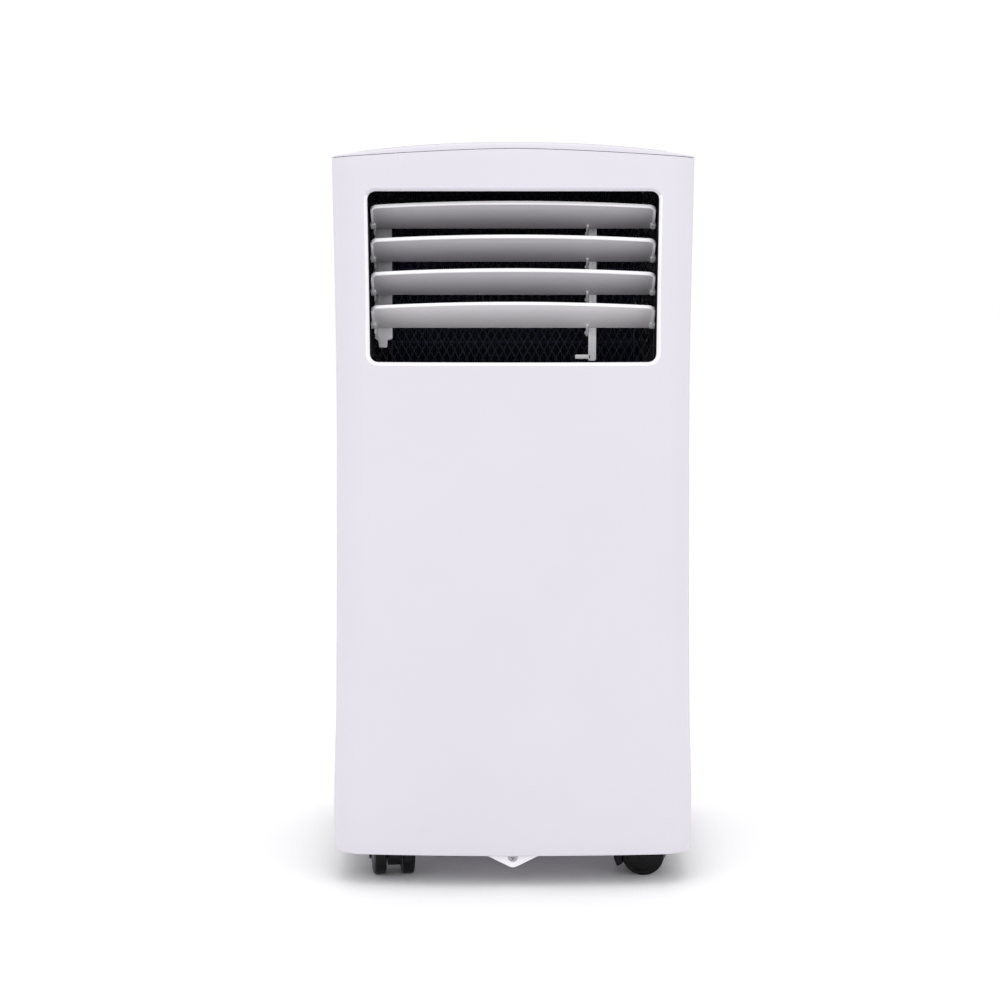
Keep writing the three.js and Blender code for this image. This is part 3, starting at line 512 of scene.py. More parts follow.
def plastic(name, base, rough=0.42, grain=2600.0, depth=0.000012, var=0.025, blotch=5.0, spec=0.5, dust=0.0, coat=0.0):
    """Moulded plastic: fine spark-eroded grain, faint flow variation, uneven sheen, a little dust low down."""
    m, nt, bs = nodes_of(name)
    co = nt.nodes.new("ShaderNodeTexCoord").outputs["Object"]
    big = noise(nt, co, blotch, 4, 0.6)
    fine = noise(nt, co, grain, 2, 0.6)
    mid = noise(nt, co, 60.0, 5, 0.65)
    dark = tuple(c * (1 - 2.2 * var) for c in base); light = tuple(min(1, c * (1 + var)) for c in base)
    col = ramp(nt, big, [(0.3, dark), (0.7, light)])
    col = mixc(nt, remap(nt, fine, 0.35, 0.65, 0.0, 0.22), col, tuple(c * 0.93 for c in base))
    if dust > 0:
        z = nt.nodes.new("ShaderNodeSeparateXYZ"); link(nt, co, z.inputs[0])
        low = remap(nt, z.outputs[2], 0.02, 0.16, 1.0, 0.0)
        col = mixc(nt, math_(nt, 'MULTIPLY', math_(nt, 'MULTIPLY', low, remap(nt, mid, 0.35, 0.75, 0.0, 1.0)), dust), col, (0.55, 0.53, 0.50))
    link(nt, col, bs.inputs["Base Color"])
    link(nt, remap(nt, math_(nt, 'ADD', math_(nt, 'MULTIPLY', big, 0.5), math_(nt, 'MULTIPLY', mid, 0.5)), 0.3, 0.7, rough - 0.05, rough + 0.06), bs.inputs["Roughness"])
    bs.inputs["Specular IOR Level"].default_value = spec
    if coat: bs.inputs["Coat Weight"].default_value, bs.inputs["Coat Roughness"].default_value = coat, 0.08
    h = math_(nt, 'ADD', math_(nt, 'MULTIPLY', fine, 0.8), math_(nt, 'MULTIPLY', mid, 0.35))
    bump(nt, bs, h, depth, 1.0)
    return m
def metal(name, base, rough=0.32, brushed=None, depth=0.000008, tarnish=None, metallic=1.0):
    """Drawn, plated or coated metal: fine lines along one direction, uneven sheen, faint tarnish."""
    m, nt, bs = nodes_of(name)
    co = nt.nodes.new("ShaderNodeTexCoord").outputs["Object"]
    lines_ = noise(nt, co, 420.0, 4, 0.6, stretch=brushed or (1, 1, 0.04))
    blot = noise(nt, co, 22.0, 4, 0.6)
    col = ramp(nt, blot, [(0.3, tuple(c * 0.86 for c in base)), (0.7, base)])
    if tarnish: col = mixc(nt, remap(nt, noise(nt, co, 55.0, 6, 0.7), 0.55, 0.78, 0.0, 0.7), col, tarnish)
    link(nt, col, bs.inputs["Base Color"])
    link(nt, remap(nt, lines_, 0.3, 0.7, rough - 0.08, rough + 0.10), bs.inputs["Roughness"])
    bs.inputs["Metallic"].default_value = metallic
    bump(nt, bs, lines_, depth, 1.0)
    return m
def rubber(name, base=(0.02, 0.02, 0.021)):
    m = plastic(name, base, rough=0.78, grain=1500.0, depth=0.00003, var=0.08, blotch=18.0, spec=0.3)
    return m
def mesh_cloth(name, base, pitch=0.0012):
    """Woven nylon mesh: two crossing sets of threads."""
    m, nt, bs = nodes_of(name)
    co = nt.nodes.new("ShaderNodeTexCoord").outputs["Object"]
    sx = nt.nodes.new("ShaderNodeSeparateXYZ"); link(nt, co, sx.inputs[0])
    k = 2 * math.pi / pitch
    a = math_(nt, 'ABSOLUTE', math_(nt, 'SINE', math_(nt, 'MULTIPLY', sx.outputs[0], k / 2)))
    b = math_(nt, 'ABSOLUTE', math_(nt, 'SINE', math_(nt, 'MULTIPLY', sx.outputs[2], k / 2)))
    weave = math_(nt, 'MINIMUM', a, b)
    n = noise(nt, co, 30.0, 4, 0.6)
    col = mixc(nt, remap(nt, weave, 0.15, 0.7, 1.0, 0.0), tuple(c * 0.25 for c in base), base)
    col = mixc(nt, remap(nt, n, 0.4, 0.75, 0.0, 0.35), col, (0.20, 0.19, 0.18))
    link(nt, col, bs.inputs["Base Color"])
    link(nt, remap(nt, n, 0.3, 0.7, 0.7, 0.9), bs.inputs["Roughness"])
    bump(nt, bs, weave, 0.0003, 1.0)
    return m

M = {
    'cabinet': plastic("cabinet_white", (0.695, 0.666, 0.733), rough=0.40, var=0.010, dust=0.05),
    'cabinet_rear': plastic("cabinet_white_rear", (0.688, 0.660, 0.726), rough=0.44, var=0.012, dust=0.08),
    # painted shade: the blade grey is far darker than the white lips, standing in for the shade on the blades'
    # undersides
    'louver': plastic("louver_white", (0.51, 0.49, 0.525), rough=0.34, depth=0.000006),
    # painted light: a lighter copy of the blade grey for the lowest louver
    'louver_painted_lit': plastic("louver_white_painted_lit", (0.85, 0.82, 0.86), rough=0.34, depth=0.000006),
    # painted light: a brighter copy of the cabinet white for the outlet edge, louver lips, lock tab and link flange
    'rim': plastic("rim_white_painted_light", (0.93, 0.92, 0.95), rough=0.30, depth=0.000004),
    'link': plastic("link_white", (0.82, 0.82, 0.84), rough=0.35, depth=0.000006),
    'vent': plastic("vent_grey", (0.26, 0.26, 0.28), rough=0.55, depth=0.00002),
    # painted shade: black plastic darkened further to stand for the shade inside the outlet sleeve
    'vent_black_painted_shade': plastic("vent_black_painted_shade", (0.010, 0.010, 0.013), rough=0.6, depth=0.00002),
    # painted shade: a dark wire darkened further so the guard sits in the shade inside the outlet
    'wire': metal("guard_wire", (0.020, 0.020, 0.023), rough=0.5, metallic=0.2),
    # blue fin coating, darkened to near black as painted shade behind the outlet
    'fin_blue': metal("fin_blue", (0.009, 0.017, 0.050), rough=0.42, metallic=0.5, brushed=(1, 1, 0.02)),
    'fin_alu': metal("fin_aluminium", (0.72, 0.73, 0.75), rough=0.36, brushed=(1, 1, 0.02)),
    'panel': plastic("panel_black", (0.012, 0.012, 0.014), rough=0.16, grain=900.0, depth=0.000002, var=0.05, coat=0.4),
    'display': plastic("display_black", (0.006, 0.006, 0.008), rough=0.06, grain=700.0, depth=0.000001, var=0.05, coat=0.8),
    'button': plastic("button_grey", (0.62, 0.62, 0.65), rough=0.30, depth=0.000005),
    'icon': plastic("icon_print", (0.75, 0.76, 0.80), rough=0.5, depth=0.000002),
    'caster': plastic("caster_black", (0.006, 0.006, 0.007), rough=0.30, grain=1400.0, depth=0.000004, var=0.10, spec=0.16),
    'tread': plastic("wheel_black", (0.005, 0.005, 0.006), spec=0.16, rough=0.36, grain=1400.0, depth=0.000010, var=0.12),
    'screw': metal("screw_steel", (0.46, 0.46, 0.48), rough=0.30, tarnish=(0.28, 0.27, 0.26)),
    'steel': metal("motor_steel", (0.56, 0.57, 0.59), rough=0.36, tarnish=(0.42, 0.41, 0.40)),
    'blower': plastic("blower_black", (0.02, 0.02, 0.022), rough=0.48, depth=0.00001, var=0.1),
    'compressor': plastic("compressor_black", (0.012, 0.012, 0.014), rough=0.30, grain=500.0, depth=0.00002, var=0.1, coat=0.2),
    'rubber': rubber("rubber_black"),
    'board': plastic("board_green", (0.02, 0.16, 0.06), rough=0.35, depth=0.000006, var=0.1),
    'copper': metal("copper_tube", (0.30, 0.15, 0.09), rough=0.38, tarnish=(0.12, 0.07, 0.05), brushed=(0.2, 0.2, 1)),
    'icon_dark': plastic("icon_dark", (0.06, 0.06, 0.07), rough=0.45, depth=0.000002, var=0.08),
    'segment': plastic("display_segment", (0.10, 0.13, 0.14), rough=0.25, depth=0.000001, var=0.10),
    'filter': mesh_cloth("filter_mesh", (0.045, 0.045, 0.05)),
}
# ------------------------------------------------------------------ cabinet shells
def u_of_x(x):
    """Arc length on the front at a plan x."""
    lo, hi = 0.0, U_SEAM
    for _ in range(40):
        mid = (lo + hi) / 2
        if plan(mid)[0] < x: lo = mid
        else: hi = mid
    return (lo + hi) / 2
def k_at(z): return half_width(z) / HALF_W
ROOT = "cabinet"
def top_edge(u):
    x = plan(u)[0] * k_at(690)
    return seam_top(x)
out_mid, out_h = (OUT_Z0 + OUT_Z1) / 2, (OUT_Z1 - OUT_Z0) / 2
opening = Hole(0, out_mid, u_of_x(OUT_X / k_at(out_mid)), out_h, OUT_R, margin=6, edge=0.6, chamfer=2.6)
front = shell("front_panel_shell", -U_SEAM, U_SEAM, Z_SKIRT, top_edge, holes=[opening], edge=1.0, ustep=5.0, zstep=12.0,)
add(front, ROOT, "cabinet_white", "front_panel", mat=M['cabinet'])
front.data.materials.append(M['rim'])      # painted light: the outlet opening's edge gets the brighter rim white
# painted light on the opening's edge: sides and bottom take the brighter white; the top edge, facing down, keeps the
# panel white
for poly in front.data.polygons:
    px, pz = abs(poly.center[0]) / MM - (OUT_X - OUT_R), abs(poly.center[2] / MM - LIFT - out_mid) - (out_h - OUT_R)
    top = poly.center[2] / MM - LIFT > OUT_Z1 - 4.0
    if not top and math.hypot(max(px, 0.0), max(pz, 0.0)) < OUT_R + 2.7: poly.material_index = 1
def u_left(u): return 2 * U_HALF - u
hand_u, exh_k = u_at_side(45.0), 1 / k_at(328)
rear_holes = [
    Hole(hand_u, 594, 55, 22, 9, margin=6, edge=2.2, pocket=20.5), Hole(u_left(hand_u), 594, 55, 22, 9, margin=6, edge=2.2, pocket=20.5),
    Hole(U_HALF, 545, 128 / k_at(545), 109, 6, margin=7, edge=0.8), Hole(U_HALF, 172, 128 / k_at(172), 68, 6, margin=5, edge=0.8),
    Hole(U_HALF, 328, 71.4 * exh_k, 71.4 * exh_k, 1, margin=8, edge=0.8, circle=True),
    Hole(U_HALF - 128 / k_at(400), 400, 7.1, 7.1, 1, margin=4, edge=0.6, circle=True),
    Hole(U_HALF + 128 / k_at(258), 258, 8.1, 8.1, 1, margin=4, edge=0.6, circle=True)]
xu = [U_HALF - 128 / k_at(400) + d for d in (-8, -5, -2.5, 0, 2.5, 5, 8)] + [U_HALF + 128 / k_at(258) + d for d in (-9, -6, -3, 0, 3, 6, 9)]
xz = [400 + d for d in (-8, -5, -2.5, 0, 2.5, 5, 8)] + [258 + d for d in (-9, -6, -3, 0, 3, 6, 9)]
rear = shell("rear_shell_moulding", U_SEAM + 0.35, u_left(U_SEAM + 0.35), Z_BASE + 0.35, top_edge, holes=rear_holes, edge=1.0, ustep=6.0, zstep=9.0, extra_u=xu, extra_z=xz)
add(rear, ROOT, "cabinet_white", "rear_shell", mat=M['cabinet_rear'])
skirt = shell("base_skirt", U_SEAM + 0.35, u_left(U_SEAM + 0.35), Z_SKIRT, Z_BASE, holes=[Hole(U_HALF, 76, 7.1, 7.1, 1, margin=4, edge=0.6, circle=True)],
              edge=0.9, ustep=6.0, zstep=6.0, extra_u=[U_HALF + d for d in (-8, -5, -2.5, 0, 2.5, 5, 8)])

# ------------------------------------------------------------------ base: floor with caster bosses and ribs, lock tab
def circle(cx, cy, r, n=48): return [(cx + r * math.cos(2 * math.pi * i / n), cy + r * math.sin(2 * math.pi * i / n)) for i in range(n)]
def ring_outline(inset, z, y_max=None, y_min=None, step=7.0):
    n = int(2 * U_HALF / step); out = []
    for i in range(n):
        p = surf(-U_HALF + 2 * U_HALF * i / n, z, inset)
        if (y_max is None or p[1] <= y_max) and (y_min is None or p[1] >= y_min): out.append((p[0], p[1]))
    return out
CASTERS = [('front_left', -120.0, -112.0, 279.0), ('front_right', 120.0, -112.0, 350.0), ('rear_left', -120.0, 98.0, 150.0), ('rear_right', 120.0, 98.0, 40.0)]
parts = [skirt, plate("base_floor", ring_outline(3.6, 58), FLOOR_Z, FLOOR_Z + 4, edge=0.8)]
for _, cx, cy, _a in CASTERS:
    prof = rounded([(5.6, 51.5), (8.6, 51.5), (9.6, 57), (9.6, 70.5), (5.6, 70.5)], 0.8, 3)
    parts.append(lathe(prof, 40, 'z', (cx, cy, 0), "boss", closed=True))
    for a in range(0, 360, 45):
        r = Matrix.Rotation(rad(a), 4, 'Z')
        b = block("rib", (9.0, -0.8, 52.5), (34, 0.8, 57), 0.4)
        b.data.transform(Matrix.Translation((cx * MM, cy * MM, 0)) @ r); parts.append(b)
for x in (-70, -35, 0, 35, 70): parts.append(block("rib", (x - 0.9, -100, 50.5), (x + 0.9, 128, 57), 0.5))
for y in (-80, -30, 20, 70, 118): parts.append(block("rib", (-92, y - 0.9, 50.5), (92, y + 0.9, 57), 0.5))
parts.append(block("sump", (-120, 100, 59), (120, 103, 70), 0.8))
base = join("base_pan_moulding", parts)
add(base, ROOT, "cabinet_white", "base_pan", mat=M['cabinet_rear'])
tab_outline = rounded_closed([(0, 5.0), (26, 17.9), (30, 19.2), (30, 56.5), (-30, 56.5), (-30, 19.2), (-26, 17.9)], [4.0, 1.5, 1.5, 1, 1, 1.5, 1.5], 6)
tab = [plate("tab", tab_outline, -171.7, -168.6, 'y', 0.7, 4, [circle(0, 16.2, 2.15, 24)])]
tab.append(block("rib", (-22, -169.4, 20), (-20.6, -162, 56.5), 0.5)); tab.append(block("rib", (20.6, -169.4, 20), (22, -162, 56.5), 0.5))
# painted light: the lock tab takes the brighter rim white, lifting the shade under the front panel
add(join("lock_tab", tab), ROOT, "cabinet_white", mat=M['rim'])
def screw(name, at_, r=4.4, proud=1.7, body=ROOT, axis='-y'):
    """A pan-head screw with a cross recess, its head towards -Y (or +Y)."""
    verts, faces, rows, n = [], [], [], 64
    s = -1 if axis == '-y' else 1
    def cross(a, rr):
        w = 0.62
        c, d = abs(math.cos(a)), abs(math.sin(a))
        m = max(c, d); lo = min(c, d)
        return min(rr, max(w / max(lo, 1e-6), 0) if lo / m > w / rr else rr)
    prof = [(r * 0.42, 2.2, 0), (r * 0.97, 0.0, 0), (r, 0.25, 0), (r * 0.93, proud * 0.5, 0), (r * 0.72, proud * 0.85, 0), (r * 0.56, proud, 0), (r * 0.5, proud, 1), (r * 0.46, proud * 0.55, 1), (r * 0.3, -0.2, 1)]
    prof[0] = (r * 0.42, -8.0, 0); prof.insert(1, (r * 0.42, 0.0, 0))
    for rr, h, k in prof:
        row = []
        for i in range(n):
            a = 2 * math.pi * i / n
            q = cross(a, rr) if k else rr
            row.append(len(verts)); verts.append((at_[0] + q * math.cos(a), at_[1] + s * h, at_[2] + q * math.sin(a)))
        rows.append(row)
    for a, b in zip(rows, rows[1:]):
        for i in range(n): faces.append((a[i], b[i], b[(i + 1) % n], a[(i + 1) % n]))
    faces.append(tuple(rows[0])); faces.append(tuple(reversed(rows[-1])))
    return new_object(name, verts, faces, sharp=38)
add(screw("lock_screw", (0, -171.8, 16.2), 4.6, 2.2), ROOT, "screw_steel", "front_tab_screw", mat=M['screw'])

# ------------------------------------------------------------------ top cover: a loft from the plan outline to the panel's seat
PX0, PY0, PX1, PY1 = -104.0, -118.0, 104.0, -56.0
CX, CY = 0.0, -87.0
_seat = rrect(PX0, PY0, PX1, PY1, 6, 8)
_plan_pts = [plan(-U_HALF + 2 * U_HALF * i / 720) for i in range(720)]
def _by_angle(pts):
    return sorted(((math.atan2(p[1] - CY, p[0] - CX), p) for p in pts), key=lambda q: q[0])
def _lookup(table, a):
    keys = [t[0] for t in table]
    i = bisect.bisect_left(keys, a)
    lo, hi = table[i - 1], table[i % len(table)]
    a0, a1 = lo[0], hi[0]
    if i == 0: a0 -= 2 * math.pi
    if i == len(table): a1 += 2 * math.pi
    t = (a - a0) / (a1 - a0) if a1 > a0 else 0
    return [x + (y - x) * t for x, y in zip(lo[1], hi[1])]
_tp, _ts = _by_angle(_plan_pts), _by_angle(_seat)
angs = sorted({round(t[0], 4) for t in _ts} | {round(t[0], 4) for t in _tp[::3]})
angs = [a for i, a in enumerate(angs) if i == 0 or a - angs[i - 1] > 0.004]
V, F = [], []
def top_ring(kind, d=0.0, z=None, f=0.0, dz=0.0, grow=0.0):
    row = []
    for a in angs:
        x, y, nx, ny = _lookup(_tp, a)
        n = math.hypot(nx, ny); nx, ny = nx / n, ny / n
        sx, sy = _lookup(_ts, a)[:2]
        L = math.hypot(sx - CX, sy - CY)
        sx, sy = sx + (sx - CX) / L * grow, sy + (sy - CY) / L * grow
        ox, oy = (x - d * nx) * k_at(690), y - d * ny
        px, py = ox + (sx - ox) * f, oy + (sy - oy) * f
        if kind == 'abs': zz = z
        elif kind == 'seam': zz = seam_top(ox) + dz
        else: zz = crown(px) + dz
        row.append(len(V)); V.append((px, py, zz))
    return row
def edge_h(x): return max(0.5, min(2.6, (crown(x) - seam_top(x) - 0.6) * 0.75))
def fillet_ring(deg):
    row = []
    for a in angs:
        x, y, nx, ny = _lookup(_tp, a); n = math.hypot(nx, ny); nx, ny = nx / n, ny / n
        ox = x * k_at(690); e = edge_h(ox)
        t = rad(deg); d = e * 1.5 * (1 - math.cos(t)); z = crown(ox) - e * (1 - math.sin(t))
        row.append(len(V)); V.append(((x - d * nx) * k_at(690), y - d * ny, z))
    return row
rings = [top_ring('abs', 5.7, 676.2), top_ring('abs', 5.3, 676), top_ring('abs', 3.8, 676), top_ring('abs', 3.4, 676.4), top_ring('seam', 3.4, dz=0.3), top_ring('seam', 0.5, dz=0.35), top_ring('seam', 0.12, dz=0.5), top_ring('seam', 0.0, dz=0.8)]
rings += [fillet_ring(dg) for dg in (0, 20, 40, 60, 80)]
for f in (0.045, 0.09, 0.16, 0.25, 0.35, 0.45, 0.55, 0.65, 0.75, 0.85, 0.93): rings.append(top_ring('crown', 0, f=f))
rings += [top_ring('crown', 0, f=1, grow=0.9), top_ring('crown', 0, f=1, grow=0.5, dz=-0.1), top_ring('crown', 0, f=1, grow=0.12, dz=-0.4), top_ring('crown', 0, f=1, grow=0.0, dz=-0.9),
          top_ring('abs', 0, 687.2, f=1, grow=0.0), top_ring('abs', 0, 686.6, f=1, grow=-0.5)]
floor_ring = rings[-1]
under = [top_ring('abs', 0, 684.2, f=1, grow=2.6), top_ring('abs', 0, 684.6, f=1, grow=3.0), top_ring('crown', 0, f=1, grow=3.0, dz=-3.0), top_ring('crown', 0, f=0.6, dz=-3.0), top_ring('crown', 0, f=0.3, dz=-3.0), top_ring('crown', 9, f=0.0, dz=-3.2), top_ring('seam', 5.8, dz=-2.5)]
m = len(angs)
def tie(a, b):
    for i in range(m): F.append((a[i], b[i], b[(i + 1) % m], a[(i + 1) % m]))
for a, b in zip(rings, rings[1:]): tie(a, b)
for a, b in zip(under, under[1:]): tie(a, b)
tie(under[-1], rings[0])
F.append(tuple(floor_ring)); F.append(tuple(reversed(under[0])))
lid = new_object("top_cover_moulding", V, F, sharp=32)
add(lid, ROOT, "cabinet_white", "top_cover", mat=M['cabinet'])

# ------------------------------------------------------------------ control panel, display, buttons
BUTTONS = [('power', -84.0), ('mode', -60.0), ('fan', -36.0), ('timer', 36.0), ('up', 60.0), ('down', 84.0)]
cp_top = plate("cp_top", rrect(PX0 + 0.35, PY0 + 0.35, PX1 - 0.35, PY1 - 0.35, 5.6, 8), 690.4, 696.5, 'z', 0.5, 3,
               [rrect(-24, -104, 24, -70, 4, 6), *[circle(x, -87, 8.5) for _, x in BUTTONS]])
cp_back = plate("cp_back", rrect(PX0 + 0.35, PY0 + 0.35, PX1 - 0.35, PY1 - 0.35, 5.6, 8), 686.8, 691.0, 'z', 0.4, 2)
add(join("control_panel_fascia", [cp_top, cp_back]), ROOT, "panel_black", "control_panel", mat=M['panel'])
add(plate("display_lens", rrect(-23.7, -103.7, 23.7, -70.3, 3.7, 8), 692.0, 696.8, 'z', 0.5, 4), ROOT, "display_black", "display_window", mat=M['display'])
def arc_band(cx, cy, r, w, a0, a1, n=20):
    out = [(cx + (r + w / 2) * math.cos(rad(a0 + (a1 - a0) * i / n)), cy + (r + w / 2) * math.sin(rad(a0 + (a1 - a0) * i / n))) for i in range(n + 1)]
    return out + [(cx + (r - w / 2) * math.cos(rad(a1 - (a1 - a0) * i / n)), cy + (r - w / 2) * math.sin(rad(a1 - (a1 - a0) * i / n))) for i in range(n + 1)]
def bar(cx, cy, length, w, a):
    c, s = math.cos(rad(a)), math.sin(rad(a))
    return [(cx + c * u - s * v, cy + s * u + c * v) for u, v in ((-length / 2, -w / 2), (length / 2, -w / 2), (length / 2, w / 2), (-length / 2, w / 2))]
def glyphs(kind, cx, cy, s=1.0):
    if kind == 'power': return [arc_band(cx, cy, 2.9 * s, 0.6 * s, 125, 415), bar(cx, cy + 2.3 * s, 2.6 * s, 0.6 * s, 90)]
    if kind == 'timer': return [arc_band(cx, cy, 2.9 * s, 0.55 * s, 0, 359), bar(cx, cy + 0.9 * s, 1.8 * s, 0.5 * s, 90), bar(cx + 0.7 * s, cy, 1.5 * s, 0.5 * s, 0)]
    if kind == 'up': return [[(cx - 2.8 * s, cy - 1.5 * s), (cx + 2.8 * s, cy - 1.5 * s), (cx, cy + 2.4 * s)]]
    if kind == 'down': return [[(cx - 2.8 * s, cy + 1.5 * s), (cx, cy - 2.4 * s), (cx + 2.8 * s, cy + 1.5 * s)]]
    if kind == 'mode': return [bar(cx, cy, 6.2 * s, 0.55 * s, a) for a in (0, 60, 120)]
    if kind == 'fan': return [[(cx + 0.5 * s * math.cos(rad(a)), cy + 0.5 * s * math.sin(rad(a))), (cx + 3.1 * s * math.cos(rad(a - 26)), cy + 3.1 * s * math.sin(rad(a - 26))), (cx + 3.3 * s * math.cos(rad(a)), cy + 3.3 * s * math.sin(rad(a))), (cx + 2.7 * s * math.cos(rad(a + 26)), cy + 2.7 * s * math.sin(rad(a + 26)))] for a in (90, 210, 330)]
    return []
for name, x in BUTTONS:
    prof = rounded([(0, 693.2), (8.0, 693.2), (8.0, 698.0), (6.3, 698.0), (5.6, 697.55), (0, 697.35)], [0, 0.3, 0.9, 0.4, 0.8, 0], 5)
    cap = lathe(prof, 64, 'z', (x, -87, 0), f"button_cap_{name}")
    add(cap, f"button_{name}", "button_grey", f"button_{name}", mat=M['button'])
    marks = [plate("mark", g, 697.3, 697.62, 'z', 0.04, 1) for g in glyphs(name, x, -87)]
    add(join(f"button_icon_{name}", marks), f"button_{name}", "panel_black", mat=M['icon_dark'])
# seven-segment figures under the lens, and small generic function marks beside them
seg = []
def digit(cx, cy, on, s=1.0):
    L, W, H = 7.0 * s, 1.5 * s, 7.0 * s
    where = {'a': (cx, cy + H, 0), 'g': (cx, cy, 0), 'd': (cx, cy - H, 0), 'f': (cx - L / 2 - 0.2, cy + H / 2, 90), 'b': (cx + L / 2 + 0.2, cy + H / 2, 90), 'e': (cx - L / 2 - 0.2, cy - H / 2, 90), 'c': (cx + L / 2 + 0.2, cy - H / 2, 90)}
    for k in on:
        x_, y_, a = where[k]
        c, s_ = math.cos(rad(a)), math.sin(rad(a))
        hexa = [(-L / 2 + 0.2, 0), (-L / 2 + 1.0, -W / 2), (L / 2 - 1.0, -W / 2), (L / 2 - 0.2, 0), (L / 2 - 1.0, W / 2), (-L / 2 + 1.0, W / 2)]
        seg.append(plate("seg", [(x_ + c * u - s_ * v, y_ + s_ * u + c * v) for u, v in hexa], 696.74, 696.86, 'z', 0.02, 1))
digit(-7.5, -88, 'abged'); digit(6.0, -88, 'fgbc')
add(join("display_segments", seg), ROOT, "display_black", mat=M['segment'])
marks = []
for kind, x_ in (('mode', -17.5), ('fan', 17.5), ('timer', 17.5)):
    for g in glyphs(kind, x_, -78.5 if kind != 'timer' else -96.0, 0.62): marks.append(plate("mark", g, 696.74, 696.86, 'z', 0.02, 1))
add(join("display_marks", marks), ROOT, "display_black", mat=M['segment'])

# ------------------------------------------------------------------ outlet sleeve, louvers, link bar, guard, evaporator
DUCT_IN, DUCT_Z0, DUCT_Z1, DUCT_BACK = 137.6, 482.5, 671.0, -99.0
PIV_Y, PIV_Z, PITCH, TILT = -130.0, 625.0, 31.7, 34.0
def sleeve_ring(grow, y, r, V):
    row = []
    for x, z in rrect(-DUCT_IN - grow, DUCT_Z0 - grow, DUCT_IN + grow, DUCT_Z1 + grow, r + grow, 6):
        yy = front_y(x) + 3.3 if y is None else y
        row.append(len(V)); V.append((x, yy, z))
    return row
def dense(points, step):
    out = []
    for p, q in zip(points, points[1:] + points[:1]):
        n = max(1, int(math.hypot(q[0] - p[0], q[1] - p[1]) / step))
        out += [(p[0] + (q[0] - p[0]) * i / n, p[1] + (q[1] - p[1]) * i / n) for i in range(n)]
    return out
def sleeve():
    V, F, rings = [], [], []
    base_ = dense(rrect(-DUCT_IN, DUCT_Z0, DUCT_IN, DUCT_Z1, 5, 6), 9)
    cx, cz = 0, (DUCT_Z0 + DUCT_Z1) / 2
    def ring(grow, y):
        row = []
        for x, z in base_:
            gx = x + math.copysign(min(grow, grow), x) * (1 if abs(x) > DUCT_IN - 5.01 else abs(x) / (DUCT_IN - 5))
            gz = z + math.copysign(grow, z - cz) * (1 if abs(z - cz) > (DUCT_Z1 - DUCT_Z0) / 2 - 5.01 else abs(z - cz) / ((DUCT_Z1 - DUCT_Z0) / 2 - 5))
            yy = max(front_y(min(abs(gx), 139)) + 3.4, -174) + (y if y is not None and y < 5 and y >= 0 else 0) if y is None or 0 <= y < 5 else y
            row.append(len(V)); V.append((gx, yy, gz))
        return row
    for g, y in ((0.0, DUCT_BACK - 0.4), (0.0, -110.0), (0.0, -125.0), (0.0, -150.0), (0.0, 1.0), (0.4, 0.3), (1.1, 0.0), (1.8, 0.3), (2.2, 1.0), (2.2, -150.0), (2.2, -110.0), (2.4, -104.3), (8.4, -104.0), (9.0, -103.4), (9.0, -99.6), (8.4, DUCT_BACK), (0.4, DUCT_BACK)):
        rings.append(ring(g, y))
    n = len(base_)
    for a, b in zip(rings, rings[1:] + rings[:1]):
        for i in range(n): F.append((a[i], b[i], b[(i + 1) % n], a[(i + 1) % n]))
    return new_object("outlet_sleeve", V, F, sharp=35)
duct = [sleeve()]
for i in range(4):
    for s in (-1, 1):   # a bearing ring round each pivot hole
        prof = rounded([(2.1, 0), (4.2, 0), (4.2, 1.6), (2.1, 1.6)], [0, 0.4, 0.4, 0], 3)
        duct.append(lathe([(r, s * (DUCT_IN - 0.2 - h * 0.8)) for r, h in prof], 28, 'x', (0, PIV_Y, PIV_Z - PITCH * i), "bearing", closed=True))
# the sleeve takes the near-black colour with its painted shade
add(join("outlet_sleeve", duct), ROOT, "vent_grey", "louver_frame", mat=M['vent_black_painted_shade'])

